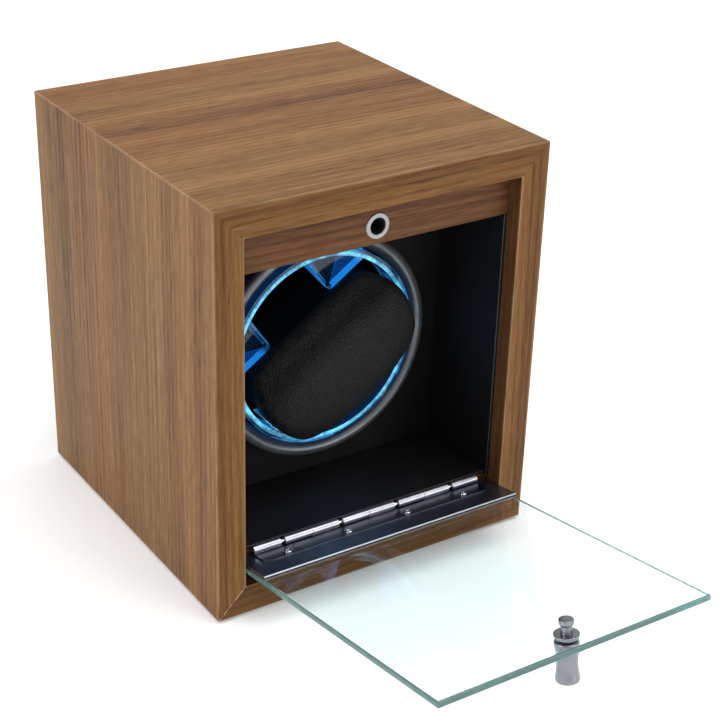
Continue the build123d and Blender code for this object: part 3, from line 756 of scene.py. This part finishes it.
@dataclass(frozen=True)
class CircuitBoard(Finish):
    """Green solder mask with tinned tracks."""

    def build(self) -> bpy.types.Material:
        """Draw tracks from stepped noise.

        Returns:
            The board's material.
        """
        material, g, shader = self.start("circuit_board")
        cells = g.add("ShaderNodeTexVoronoi", feature="DISTANCE_TO_EDGE", distance="CHEBYCHEV")
        g.feed(cells, Vector=self.place(g), Scale=260.0, Randomness=0.6)
        track = g.band(cells.outputs["Distance"], 0.03, 0.06, (1.0, 0.0))
        mask = g.blend(track, (0.012, 0.09, 0.035), (0.05, 0.22, 0.10))
        g.feed(shader, Base_Color=mask, Roughness=g.band(track, 0.0, 1.0, (0.42, 0.3)))
        return material


# painted shade: the bars, set back inside the opening, take darker tones for the shade there, and no further
# shade on their inner faces
BAR_SHADE_TONES = {"dark": (0.052, 0.022, 0.009), "mid": (0.104, 0.045, 0.016), "light": (0.168, 0.080, 0.030),
             "reveal_shade": (1.0, 1.0, 1.0)}
BLACK_BOARD = Plain("black_board", (0.0062, 0.0063, 0.0074), 0.46, 0.14, specular=0.30)
BLACK_BAFFLE = Plain("black_baffle", (0.0036, 0.0036, 0.0040), 0.60, 0.10, specular=0.20)
BLACK_PLASTIC = Plain("black_plastic", (0.010, 0.010, 0.012), 0.42, 0.10, specular=0.40)
BLACK_RUBBER = Plain("black_rubber", (0.012, 0.012, 0.012), 0.75, 0.10, specular=0.25)
BEZEL_PAINT = Plain("bezel_paint", (0.135, 0.145, 0.160), 0.30, 0.10, metal=0.6, relief=0.000004)
STRIP_FILM = Plain("strip_film", (0.55, 0.56, 0.52), 0.5)
NICKEL = WorkedMetal("polished_nickel", (0.86, 0.86, 0.88), 0.10, 0.05)
KNUCKLE_NICKEL = WorkedMetal("knuckle_nickel", (0.56, 0.56, 0.61), 0.34, 0.03, relief=0.0000004)
# painted dark reflection: the hinge's own nickel, darkened on the flat plate
LEAF_PAINTED_REFLECTION = WorkedMetal("leaf_painted_reflection", (0.115, 0.125, 0.160), 0.30, 0.04, relief=0.0000004)
SATIN_NICKEL = WorkedMetal("satin_nickel", (0.265, 0.28, 0.30), 0.27, 0.08, (1.0, 0.03, 1.0))
SOCKET_NICKEL = WorkedMetal("socket_nickel", (0.34, 0.345, 0.35), 0.36, 0.08, (1.0, 1.0, 1.0))
STEEL = WorkedMetal("zinc_steel", (0.60, 0.60, 0.62), 0.28, 0.10)
BRASS = WorkedMetal("sintered_brass", (0.62, 0.44, 0.18), 0.35, 0.10)
# the rail is one metal in three painted tones: its dark navy is a painted dark reflection, its chamfers a
# painted highlight, its front face painted shade
RAIL_FACE = WorkedMetal("rail_face", (0.190, 0.220, 0.295), 0.34, 0.08, (0.015, 1.0, 1.0))
RAIL_PAINTED_HIGHLIGHT = WorkedMetal("rail_painted_highlight", (0.36, 0.38, 0.42), 0.42, 0.06, (0.015, 1.0, 1.0))
RAIL_PAINTED_SHADE = WorkedMetal("rail_painted_shade", (0.035, 0.040, 0.050), 0.30, 0.06, (0.015, 1.0, 1.0))
# painted highlight: the linings' eased edges are a lighter grey than their black faces
BOARD_PAINTED_HIGHLIGHT = Plain("board_painted_highlight", (0.030, 0.032, 0.037), 0.38, 0.12, specular=0.5)
BLACK_CUP = Plain("black_cup", (0.0022, 0.0022, 0.0025), 0.55, 0.10, specular=0.15)
BASE_FELT = Plain("base_felt", (0.012, 0.012, 0.012), 0.95, 0.05, specular=0.1, relief=0.0002)


# ---------------------------------------------------------------- mesh help
def set_out(name: str, data: bpy.types.ID) -> bpy.types.Object:
    """Make an object and link it to the scene.

    Args:
        name: the object's name.
        data: its mesh, light or camera.

    Returns:
        The object.
    """
    thing = bpy.data.objects.new(name, data)
    bpy.context.scene.collection.objects.link(thing)
    return thing


def finish_piece(
    bm: bmesh.types.BMesh, name: str, body: str, finishes: list[Finish], sharp: float = 32.0
) -> bpy.types.Object:
    """Turn a bmesh into a piece that rides on a body.

    Args:
        bm: the finished shape, in place, in metres. It is freed.
        name: the piece's name.
        body: the CAD body that it rides on.
        finishes: one per material index.
        sharp: edges that turn by more than this many degrees stay crisp.

    Returns:
        The piece.
    """
    bmesh.ops.remove_doubles(bm, verts=bm.verts, dist=1e-6)
    bmesh.ops.recalc_face_normals(bm, faces=bm.faces)
    for face in bm.faces:
        face.smooth = True
    for edge in bm.edges:
        edge.smooth = len(edge.link_faces) == 2 and edge.calc_face_angle(0.0) < math.radians(sharp)
    mesh = bpy.data.meshes.new(name)
    bm.to_mesh(mesh)
    bm.free()
    piece = set_out(name, mesh)
    for finish in finishes:
        mesh.materials.append(finish.material())
    if sharp < 180.0:
        flatten = piece.modifiers.new("flat_faces", "WEIGHTED_NORMAL")
        flatten.keep_sharp = True
    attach(piece, body)
    return piece


def slab(low: Colour, high: Colour) -> bmesh.types.BMesh:
    """Start a bmesh from a box between two corners.

    Args:
        low: lowest corner in metres.
        high: highest corner in metres.

    Returns:
        The box.
    """
    bm = bmesh.new()
    bmesh.ops.create_cube(bm, size=1.0)
    size = Vector(high) - Vector(low)
    bmesh.ops.scale(bm, vec=size, verts=bm.verts)
    bmesh.ops.translate(bm, vec=(Vector(low) + Vector(high)) / 2, verts=bm.verts)
    return bm


def ease(
    bm: bmesh.types.BMesh, edges: list[bmesh.types.BMEdge], width: float, segments: int = 2
) -> list[bmesh.types.BMFace]:
    """Round some edges.

    Args:
        bm: the shape.
        edges: which edges.
        width: offset in metres.
        segments: steps across.

    Returns:
        The new faces.
    """
    made = bmesh.ops.bevel(
        bm, geom=edges, offset=width, segments=segments, affect="EDGES", profile=0.5, material=-1,
        clamp_overlap=True,
    )
    return made["faces"]


def spun(profile: list[tuple[float, float]], closed: bool, steps: int = 96) -> bmesh.types.BMesh:
    """Spin an outline about Z.

    Args:
        profile: (radius, height) points in millimetres.
        closed: whether the last point joins the first.
        steps: facets round the axis.

    Returns:
        The turned shape, in metres.
    """
    bm = bmesh.new()
    dots = [bm.verts.new((r * MM, 0.0, h * MM)) for r, h in profile]
    pairs = list(zip(dots, dots[1:]))
    if closed:
        pairs.append((dots[-1], dots[0]))
    edges = [bm.edges.new(pair) for pair in pairs]
    bmesh.ops.spin(
        bm, geom=[*dots, *edges], cent=(0, 0, 0), axis=(0, 0, 1), angle=math.tau, steps=steps, use_merge=True
    )
    bmesh.ops.remove_doubles(bm, verts=bm.verts, dist=1e-6)
    return bm


def rounded(points: list[tuple[float, float]], radius: float, steps: int = 4) -> list[tuple[float, float]]:
    """Round the inner corners of an open outline.

    Args:
        points: (radius, height) points.
        radius: largest corner radius, in the same units.
        steps: points per corner.

    Returns:
        The outline with its corners eased.
    """
    eased = [points[0]]
    for before, here, after in zip(points, points[1:], points[2:]):
        a, b, c = Vector(before), Vector(here), Vector(after)
        reach = min(radius, (a - b).length * 0.45, (c - b).length * 0.45)
        start, end = b + (a - b).normalized() * reach, b + (c - b).normalized() * reach
        for i in range(steps + 1):
            t = i / steps
            spot = start * (1 - t) ** 2 + b * 2 * t * (1 - t) + end * t ** 2
            eased.append((spot.x, spot.y))
    return [*eased, points[-1]]


def node_copy(node: bpy.types.Object) -> bmesh.types.BMesh:
    """Copy a CAD node's mesh with its loose triangles joined and its flat faces made whole.

    Args:
        node: the CAD node's object.

    Returns:
        The copy.
    """
    bm = bmesh.new()
    bm.from_mesh(node.data)
    bmesh.ops.remove_doubles(bm, verts=bm.verts, dist=2e-6)
    bmesh.ops.dissolve_limit(bm, angle_limit=math.radians(0.5), verts=bm.verts, edges=bm.edges)
    return bm


@dataclass
class Frame:
    """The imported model: its nodes, and where its joints are."""

    nodes: dict[str, bpy.types.Object]
    joints: dict[str, dict]
    bodies: dict[str, str]
    slots: dict[str, str]

    def dress(self, finish: Finish, *names: str) -> None:
        """Give CAD nodes a finish.

        Args:
            finish: the finish.
            names: the nodes.
        """
        for name in names:
            node = self.nodes[name]
            node.data.materials.clear()
            node.data.materials.append(finish.material())
            LOG.info("dressed %s", name)

    def eased(
        self, name: str, finishes: list[Finish], width: float = 0.15, sharp: float = 35.0
    ) -> bpy.types.Object:
        """Stand a copy in for a node, with its sharp edges broken by a small flat.

        Args:
            name: the node.
            finishes: the surface's finish and, if there are two, the broken edges' finish.
            width: the flat's offset in millimetres.
            sharp: edges that turn by more than this many degrees are broken.

        Returns:
            The piece.
        """
        bm = node_copy(self.nodes[name])
        limit = math.radians(sharp)
        edges = [e for e in bm.edges if len(e.link_faces) == 2 and e.calc_face_angle(0.0) > limit]
        for face in ease(bm, edges, width * MM, 1):
            face.material_index = len(finishes) - 1
        piece = finish_piece(bm, f"{name}_eased", self.bodies[name], finishes)
        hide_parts(name)
        return piece

    def pivot(self, joint: str) -> Vector:
        """Return a joint's point at rest, in metres."""
        return Vector(self.joints[joint]["pos_m"])


# ---------------------------------------------------------------- sub-assemblies
@dataclass
class Cabinet:
    """Mitred veneered walls, front bars, black linings, the felt base and the set-in back."""

    frame: Frame
    eased: float = 0.45
    joint_line: float = 0.05
    walls: dict[str, WalnutVeneer] = field(default_factory=lambda: {
        node: WalnutVeneer(f"walnut_{short}", grain, shift, turn, glued, **tones)
        for node, short, grain, shift, turn, glued, tones in (
            ("left_side_panel", "left", Grain.ALONG_Z, (0.31, 0.0, 0.0), (1.0, 0.0, 0.3), True, {}),
            ("top_panel", "top", Grain.ALONG_X, (0.0, 0.13, 0.52), (1.0, 0.259, 0.3), False, {}),
            ("right_side_panel", "right", Grain.ALONG_Z, (0.77, 0.4, 0.0), (-1.0, 0.518, 0.3), False, {}),
            # the bottom panel's front gets deeper painted shade, for the shade under the rail and the glass
            ("bottom_panel", "bottom", Grain.ALONG_X, (0.0, 0.9, 0.21), (-1.0, 0.594, 0.3), True,
             {"front_shade": (0.66, 0.63, 0.52)}),
            ("top_front_bar", "top_bar", Grain.ALONG_X, (0.0, 1.4, 0.83), (1.0, 0.0, 0.0), False,
             BAR_SHADE_TONES),
            ("bottom_front_bar", "low_bar", Grain.ALONG_X, (0.0, 1.9, 0.37), (1.0, 0.0, 0.0), False,
             BAR_SHADE_TONES),
        )
    })

    def wall(self, name: str, finish: WalnutVeneer) -> bpy.types.Object:
        """Ease one wall's outer edges and leave a hairline at its mitres.

        Args:
            name: the CAD node that the wall stands for.
            finish: its veneer.

        Returns:
            The wall.
        """
        low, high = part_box("left_side_panel")[0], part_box("right_side_panel")[1]
        bm = node_copy(self.frame.nodes[name])

        def outside(vert: bmesh.types.BMVert) -> int:
            """Count the box's outer planes that a corner lies on."""
            spots = zip(vert.co, low, high)
            return sum(min(abs(v - a), abs(v - b)) < 2e-5 for v, a, b in spots)

        crisp = [e for e in bm.edges if e.calc_face_angle(0) > 0.5]
        long_edges = {e for e in crisp if min(outside(v) for v in e.verts) >= 2}
        for edge in long_edges:
            edge.tag = True
        ease(bm, [e for e in crisp if e not in long_edges], self.joint_line * MM, 1)
        outer = [e for e in bm.edges if e.is_valid and e.tag and e.calc_face_angle(0) > 0.5]
        ease(bm, outer, self.eased * MM, 3)
        return finish_piece(bm, f"{name}_veneered", "cabinet", [finish])

    def build(self) -> list[bpy.types.Object]:
        """Make the walls and bars, and dress the rest.

        Returns:
            The new pieces.
        """
        made = []
        for name, finish in self.walls.items():
            piece = self.wall(name, finish)
            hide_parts(name)
            made.append(piece)
        for name in ("lining_left", "lining_right", "lining_floor", "lining_ceiling", "rear_panel"):
            # the linings' eased edges take a painted highlight
            made.append(self.frame.eased(name, [BLACK_BOARD, BOARD_PAINTED_HIGHLIGHT], 0.2))
        self.frame.dress(BLACK_BAFFLE, "baffle_board", "mechanism_board")
        self.frame.dress(BASE_FELT, "base_felt")
        self.frame.dress(BLACK_RUBBER, "catch_insert")
        made.append(self.frame.eased("rear_panel_screws", [STEEL], 0.15))
        made.append(self.frame.eased("catch_socket", [SOCKET_NICKEL], 0.12))
        return made


@dataclass
class LitHead:
    """Bezel, light strip, holder ring and the cup behind it."""

    frame: Frame
    bead_radius: float = 49.5
    bead_half: float = 2.8
    face: float = 28.0
    bead_rise: float = 4.15

    def bezel(self) -> bpy.types.Object:
        """Turn the half-round bead with the cone inside it.

        Returns:
            The bezel.
        """
        bead = []
        for i in range(25):
            angle = math.pi * i / 24
            bead.append((
                self.bead_radius + self.bead_half * math.cos(angle),
                self.face + self.bead_rise + self.bead_half * math.sin(angle),
            ))
        base = [(47.0, self.face), (self.bead_radius + self.bead_half, self.face)]
        cone = [(45.5, self.face + 2.2), (45.5, self.face + 1.0), (47.0, self.face + 1.0)]
        bm = spun([*base, *bead, *cone], True, 160)
        turn = Matrix.Translation(self.frame.pivot("drum_spin")) @ Matrix.Rotation(math.radians(90), 4, "X")
        bmesh.ops.transform(bm, matrix=turn, verts=bm.verts)
        piece = finish_piece(bm, "bezel_turned", "cabinet", [BEZEL_PAINT])
        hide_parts("bezel_ring")
        return piece

    def build(self) -> list[bpy.types.Object]:
        """Make the bezel and dress the lit pieces.

        Returns:
            The new pieces.
        """
        self.frame.dress(STRIP_FILM, "light_strip")
        self.frame.dress(Glowing("blue_led", (0.10, 0.45, 1.0), 1.2), "leds")
        self.frame.dress(BLACK_PLASTIC, "drum_pulley")
        self.frame.dress(STEEL, "drum_shaft", "pulley_circlip")
        cup = self.frame.eased("drum_cup", [BLACK_CUP], 0.2)
        ring = self.frame.eased("holder_ring", [LitAcrylic(False), LitAcrylic(True)], 0.32, 40.0)
        return [self.bezel(), cup, ring]


@dataclass
class Cushion:
    """Leather cushion, pinched where the holder's tabs grip it."""

    frame: Frame
    turn: float = 34.5
    levels: list[tuple[float, float, float]] = field(default_factory=lambda: [
        (4.0, 36.5, 14.0), (9.0, 39.0, 16.2), (32.0, 39.4, 16.4), (36.0, 39.8, 19.0),
        (41.0, 40.2, 24.2), (47.0, 40.4, 26.2), (52.0, 39.4, 25.2), (54.6, 37.0, 22.4),
    ])
    crown: tuple[float, float] = (2.2, 5.4)
    lean: float = 0.09
    taper: float = 0.30
    roll: float = 0.9
    corner: float = 0.30
    voxel: float = 2.4
    pressure: float = 4.0
    frames: int = 20
    swell_cap: float = 1.1

    def section(self, depth: float) -> tuple[float, float]:
        """Return the half length and half width at a depth, all in millimetres."""
        for (d0, a0, b0), (d1, a1, b1) in zip(self.levels, self.levels[1:]):
            if depth <= d1:
                t = max(0.0, (depth - d0) / (d1 - d0))
                return a0 + (a1 - a0) * t, b0 + (b1 - b0) * t
        return self.levels[-1][1:]

    def form(self) -> bmesh.types.BMesh:
        """Shape a divided cube into the pinched cushion.

        Returns:
            The form in the drum's own frame, in metres.
        """
        bm = bmesh.new()
        bmesh.ops.create_cube(bm, size=2.0)
        bmesh.ops.subdivide_edges(bm, edges=bm.edges, cuts=15, use_grid_fill=True)
        low, high = self.levels[0][0], self.levels[-1][0]
        for vert in bm.verts:
            p, q, s = vert.co
            depth = low + (high - low) * (s + 1) / 2
            half_a, half_b = self.section(depth)
            slant = (1 - self.lean * min(0.0, q)) * (1 - self.taper * max(0.0, q) * max(0.0, s) ** 2)
            roll = self.crown[1] * abs(q) ** 3 * (1 + self.roll * max(0.0, q))
            fall = (self.crown[0] * p ** 4 + roll) * ((s + 1) / 2) ** 4
            vert.co = (
                half_a * p * math.sqrt(1 - self.corner * q * q) * MM,
                half_b * q * slant * math.sqrt(1 - self.corner * p * p) * MM,
                (depth - fall) * MM,
            )
        self.soften(bm, 0.35, 3)
        return bm

    @staticmethod
    def soften(bm: bmesh.types.BMesh, factor: float, times: int = 1) -> None:
        """Smooth every vertex.

        Args:
            bm: the shape.
            factor: how far each pass moves a vertex.
            times: how many passes.
        """
        axes = {"use_axis_x": True, "use_axis_y": True, "use_axis_z": True}
        for _ in range(times):
            bmesh.ops.smooth_vert(bm, verts=bm.verts, factor=factor, **axes)

    def swell(self, piece: bpy.types.Object) -> None:
        """Fill the cover by a short cloth simulation and keep the result.

        Args:
            piece: the cushion, already in place.
        """
        start = {v.index: v.co.copy() for v in piece.data.vertices}
        cloth = piece.modifiers.new("fill", "CLOTH")
        cloth.settings.use_pressure = True
        cloth.settings.uniform_pressure_force = self.pressure
        cloth.settings.effector_weights.gravity = 0.0
        cloth.settings.quality = 6
        cloth.settings.mass = 0.15
        cloth.point_cache.frame_start, cloth.point_cache.frame_end = 1, self.frames
        scene = bpy.context.scene
        for frame in range(1, self.frames + 1):
            scene.frame_set(frame)
        shaped = piece.evaluated_get(bpy.context.evaluated_depsgraph_get()).data
        moved = [v.co.copy() for v in shaped.vertices]
        piece.modifiers.remove(cloth)
        scene.frame_set(1)
        cap = self.swell_cap * MM
        for vert in piece.data.vertices:
            step = moved[vert.index] - start[vert.index]
            if step.length > cap:
                step = step.normalized() * cap
            vert.co = start[vert.index] + step

    def build(self) -> list[bpy.types.Object]:
        """Form, remesh, fill and finish the cushion.

        Returns:
            The cushion.
        """
        bm = self.form()
        pivot = self.frame.pivot("drum_spin")
        place = (
            Matrix.Translation(pivot)
            @ Matrix.Rotation(math.radians(-self.turn), 4, "Y")
            @ Matrix.Rotation(math.radians(90), 4, "X")
        )
        bmesh.ops.transform(bm, matrix=place, verts=bm.verts)
        piece = finish_piece(bm, "leather_cushion", "cushion", [GrainedLeather()], 180.0)
        remesh = piece.modifiers.new("even", "REMESH")
        remesh.mode = "VOXEL"
        remesh.voxel_size = self.voxel * MM
        solved = piece.evaluated_get(bpy.context.evaluated_depsgraph_get())
        evened = bpy.data.meshes.new_from_object(solved)
        piece.modifiers.clear()
        piece.data = evened
        if not piece.data.materials:
            piece.data.materials.append(GrainedLeather().material())
        self.swell(piece)
        bm = bmesh.new()
        bm.from_mesh(piece.data)
        self.soften(bm, 0.5)
        bmesh.ops.recalc_face_normals(bm, faces=bm.faces)
        for face in bm.faces:
            face.smooth = True
        bm.to_mesh(piece.data)
        bm.free()
        rounder = piece.modifiers.new("round", "SUBSURF")
        rounder.levels = rounder.render_levels = 1
        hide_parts("cushion_cover", "cushion_core")
        return [piece]


@dataclass
class Door:
    """Glass pane on its rail, with the hinge and the turned knob."""

    frame: Frame
    rise: float = 9.5
    rail: tuple[float, float, float, float, float] = (63.5, -1.0, 21.1, 2.1, 3.8)
    pane: tuple[float, float, float, float, float] = (63.5, 0.3, 140.6, 3.8, 6.8)
    knob_out: float = 132.5
    knuckle_reach: float = 2.2
    flange: float = 1.6

    def place(self) -> Matrix:
        """Return the matrix from the door's frame (X, outwards, down) to the room."""
        c, s = math.cos(math.radians(self.rise)), math.sin(math.radians(self.rise))
        basis = Matrix(((1, 0, 0, 0), (0, -c, -s, 0), (0, s, -c, 0), (0, 0, 0, 1)))
        return Matrix.Translation(self.frame.pivot("door_hinge")) @ basis

    def settle(
        self, bm: bmesh.types.BMesh, name: str, finishes: list[Finish], node: str
    ) -> bpy.types.Object:
        """Put a shape from the door's frame in its place.

        Args:
            bm: the shape.
            name: the piece's name.
            finishes: one per material index.
            node: the CAD node that it stands for.

        Returns:
            The piece.
        """
        bmesh.ops.transform(bm, matrix=self.place(), verts=bm.verts)
        piece = finish_piece(bm, name, "door", finishes)
        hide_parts(node)
        return piece

    def glass(self) -> bpy.types.Object:
        """Make the pane with ground, slightly eased edges.

        Returns:
            The pane.
        """
        half, u0, u1, top, low = (v * MM for v in self.pane)
        bm = slab((-half, u0, top), (half, u1, low))
        rims = [e for e in bm.edges if any(abs(f.normal.z) > 0.9 for f in e.link_faces)]
        ease(bm, rims, 0.7 * MM, 3)
        for face in bm.faces:
            face.material_index = 0 if abs(face.normal.z) > 0.9 else 1
        finishes = [PaneGlass(False), PaneGlass(True)]
        return self.settle(bm, "glass_door_pane", finishes, "glass_pane")

    def bar(self) -> bpy.types.Object:
        """Make the rail, dark navy as a painted dark reflection, with a painted highlight on the chamfers
        above and below its front face and painted shade on the front face.

        Returns:
            The rail.
        """
        half, u0, u1, top, low = (v * MM for v in self.rail)
        bm = slab((-half, u0, top), (half, u1, low))
        front = [e for e in bm.edges if all(abs(v.co.y - u1) < 1e-6 for v in e.verts)]
        front = [e for e in front if abs(e.verts[0].co.z - e.verts[1].co.z) < 1e-6]
        # painted highlight on the front chamfers
        bright = ease(bm, front, 0.42 * MM, 1)
        for face in bright:
            face.material_index = 1
        # painted shade on the front face
        for face in bm.faces:
            if face.normal.y > 0.99 and face not in set(bright):
                face.material_index = 2
        crisp = [e for e in bm.edges if e.calc_face_angle(0) > 1.2]
        ease(bm, [e for e in crisp if all(v.co.y < u1 - 1 * MM for v in e.verts)], 0.12 * MM, 1)
        lip = slab((-half, u0, low), (half, self.pane[1] * MM, self.pane[4] * MM))
        spare = bpy.data.meshes.new("rail_lip")
        lip.to_mesh(spare)
        lip.free()
        bm.from_mesh(spare)
        bpy.data.meshes.remove(spare)
        finishes = [RAIL_FACE, RAIL_PAINTED_HIGHLIGHT, RAIL_PAINTED_SHADE]
        return self.settle(bm, "pane_rail", finishes, "door_rail")

    def knob(self) -> list[bpy.types.Object]:
        """Turn the waisted grip, the flange and the plug.

        Returns:
            The three pieces.
        """
        low, top = self.pane[4], self.pane[3]
        seat = top - self.flange
        grip = rounded([
            (0, low), (4.8, low), (4.8, low + 1.8), (4.3, low + 3.9), (4.05, low + 6.6), (4.12, low + 9.2),
            (4.4, low + 11.6), (4.65, low + 13.2), (4.65, low + 15.0), (0, low + 15.0),
        ], 0.8)
        collar = rounded([(0, top), (4.6, top), (4.9, seat + 0.5), (4.9, seat), (2.3, seat), (0, seat)], 0.3)
        plug = rounded([
            (0, seat + 0.2), (2.3, seat + 0.2), (2.15, seat - 0.8), (2.15, seat - 3.3), (2.85, seat - 4.0),
            (2.85, seat - 5.9), (0, seat - 5.9),
        ], 0.35)
        made = []
        rows = (
            ("knob_grip", grip, "knob_body"),
            ("knob_collar", collar, "knob_flange"),
            ("knob_plug", plug, "catch_plug"),
        )
        for name, outline, node in rows:
            bm = spun(outline, False, 64)
            bmesh.ops.translate(bm, vec=(0, self.knob_out * MM, 0), verts=bm.verts)
            made.append(self.settle(bm, name, [SATIN_NICKEL], node))
        return made

    def leaf(self, name: str) -> bpy.types.Object:
        """Ease a hinge leaf, with bright knuckles and the flat plate painted dark, a painted dark reflection
        that matches the rail.

        Args:
            name: the leaf's node.

        Returns:
            The leaf.
        """
        piece = self.frame.eased(name, [KNUCKLE_NICKEL], 0.10)
        piece.data.materials.append(LEAF_PAINTED_REFLECTION.material())
        axis = self.frame.pivot("door_hinge")
        # faces away from the knuckle take the painted dark reflection
        for face in piece.data.polygons:
            if (face.center - axis).yz.length > self.knuckle_reach * MM:
                face.material_index = 1
        return piece

    def build(self) -> list[bpy.types.Object]:
        """Make the pane, rail and knob, and dress the hinge.

        Returns:
            The new pieces.
        """
        made = [self.glass(), self.bar(), *self.knob()]
        made += [self.leaf(name) for name in ("hinge_body_leaf", "hinge_door_leaf")]
        for name in ("hinge_pin", "hinge_door_screws", "hinge_body_screws"):
            made.append(self.frame.eased(name, [NICKEL], 0.10))
        return made


@dataclass
class Drive:
    """Motor, belt, housing and electrics inside the box."""

    frame: Frame

    def build(self) -> list[bpy.types.Object]:
        """Dress the mechanism.

        Returns:
            No new pieces.
        """
        self.frame.dress(BLACK_RUBBER, "drive_belt", "motor_lead", "light_lead", "power_lead")
        self.frame.dress(
            STEEL, "gear_motor", "motor_shaft", "motor_screws", "housing_screws", "board_standoffs",
            "jack_nut",
        )
        self.frame.dress(
            BLACK_PLASTIC, "bearing_housing", "motor_pulley", "dial_switch", "slide_switch", "light_switch",
            "dc_jack",
        )
        self.frame.dress(BRASS, "front_bush", "rear_bush")
        self.frame.dress(CircuitBoard(), "control_board")
        return []


@dataclass
class RearControls:
    """Dial, slider and button on the back."""

    frame: Frame

    def build(self) -> list[bpy.types.Object]:
        """Dress the controls.

        Returns:
            No new pieces.
        """
        names = ("program_dial", "direction_slider", "light_button")
        return [self.frame.eased(name, [BLACK_PLASTIC], 0.25) for name in names]


@dataclass(frozen=True)
class WhiteSweep(Finish):
    """Seamless white paper, lit from below as well as above, so that only contact shadows show."""

    glow: float = 0.20

    def build(self) -> bpy.types.Material:
        """Return the paper's material."""
        material, g, shader = self.start("white_sweep")
        shade = g.band(g.noise(self.place(g), 3.0, 2.0), 0.2, 0.8)
        g.feed(
            shader, Base_Color=g.blend(shade, (0.89, 0.89, 0.89), (0.91, 0.91, 0.91)), Roughness=1.0,
            Specular_IOR_Level=0.0, Emission_Color=(1.0, 1.0, 1.0, 1.0), Emission_Strength=self.glow,
        )
        return material


@dataclass
class Studio:
    """White sweep, soft lights and the camera."""

    lens: float = 84.01
    spot: Colour = (-0.3449, -0.5768, 0.4103)
    tilt: Colour = (61.976, -0.927, -31.857)
    shift: tuple[float, float] = (0.0552, 0.0394)
    sky: float = 0.72

    def floor(self) -> None:
        """Lay a wide white floor."""
        bm = bmesh.new()
        bmesh.ops.create_grid(bm, x_segments=1, y_segments=1, size=6.0)
        mesh = bpy.data.meshes.new("floor")
        bm.to_mesh(mesh)
        bm.free()
        floor = set_out("floor", mesh)
        mesh.materials.append(WhiteSweep().material())

    def lamp(self, name: str, at: Colour, toward: Colour, size: float, power: float) -> None:
        """Hang one soft square light.

        Args:
            name: the light's name.
            at: where it hangs.
            toward: where it points.
            size: its side in metres.
            power: watts.
        """
        data = bpy.data.lights.new(name, "AREA")
        data.size, data.energy = size, power
        light = set_out(name, data)
        light.location = at
        light.rotation_euler = (Vector(toward) - Vector(at)).to_track_quat("-Z", "Y").to_euler()

    def room(self) -> None:
        """Fill the room with even light, seen as plain white."""
        world = bpy.data.worlds.new("white_room")
        bpy.context.scene.world = world
        world.use_nodes = True
        g = Graph(world.node_tree)
        back = world.node_tree.nodes["Background"]
        path = g.add("ShaderNodeLightPath")
        level = g.math("ADD", self.sky, g.math("MULTIPLY", path.outputs["Is Camera Ray"], 1.05 - self.sky))
        g.feed(back, Strength=level, Color=(1.0, 1.0, 1.0, 1.0))

    def camera(self) -> None:
        """Place the camera."""
        data = bpy.data.cameras.new("camera")
        data.lens, data.sensor_width = self.lens, 36.0
        data.shift_x, data.shift_y = self.shift
        data.clip_start = 0.01
        camera = set_out("camera", data)
        camera.location = self.spot
        camera.rotation_euler = tuple(math.radians(a) for a in self.tilt)
        bpy.context.scene.camera = camera

    def build(self) -> None:
        """Set the view, room, floor, lights and camera."""
        bpy.context.scene.view_settings.view_transform = "Standard"
        self.room()
        self.floor()
        self.lamp("overhead", (0.30, -0.30, 1.5), (0.0, 0.0, 0.1), 1.0, 13.2)
        self.lamp("left", (-1.5, 0.1, 0.8), (0.0, 0.0, 0.09), 1.0, 9.0)
        self.lamp("front", (0.7, -1.5, 0.35), (0.0, 0.0, 0.06), 0.7, 5.0)
        self.camera()


def main() -> None:
    """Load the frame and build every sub-assembly."""
    logging.basicConfig(level=logging.INFO, format="%(name)s: %(message)s")
    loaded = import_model()
    record = loaded["record"]
    bodies = {node: body for body, nodes in record["behaviour"]["bodies"].items() for node in nodes}
    slots = {part["node"]: part["material_slot"] for part in record["subparts"]}
    frame = Frame(loaded["nodes"], {joint["name"]: joint for joint in loaded["joints"]}, bodies, slots)
    Studio().build()
    for assembly in (Cabinet, LitHead, Cushion, Door, Drive, RearControls):
        for piece in assembly(frame).build():
            LOG.info("built %s: %d faces", piece.name, len(piece.data.polygons))


if __name__ == "__main__":
    main()
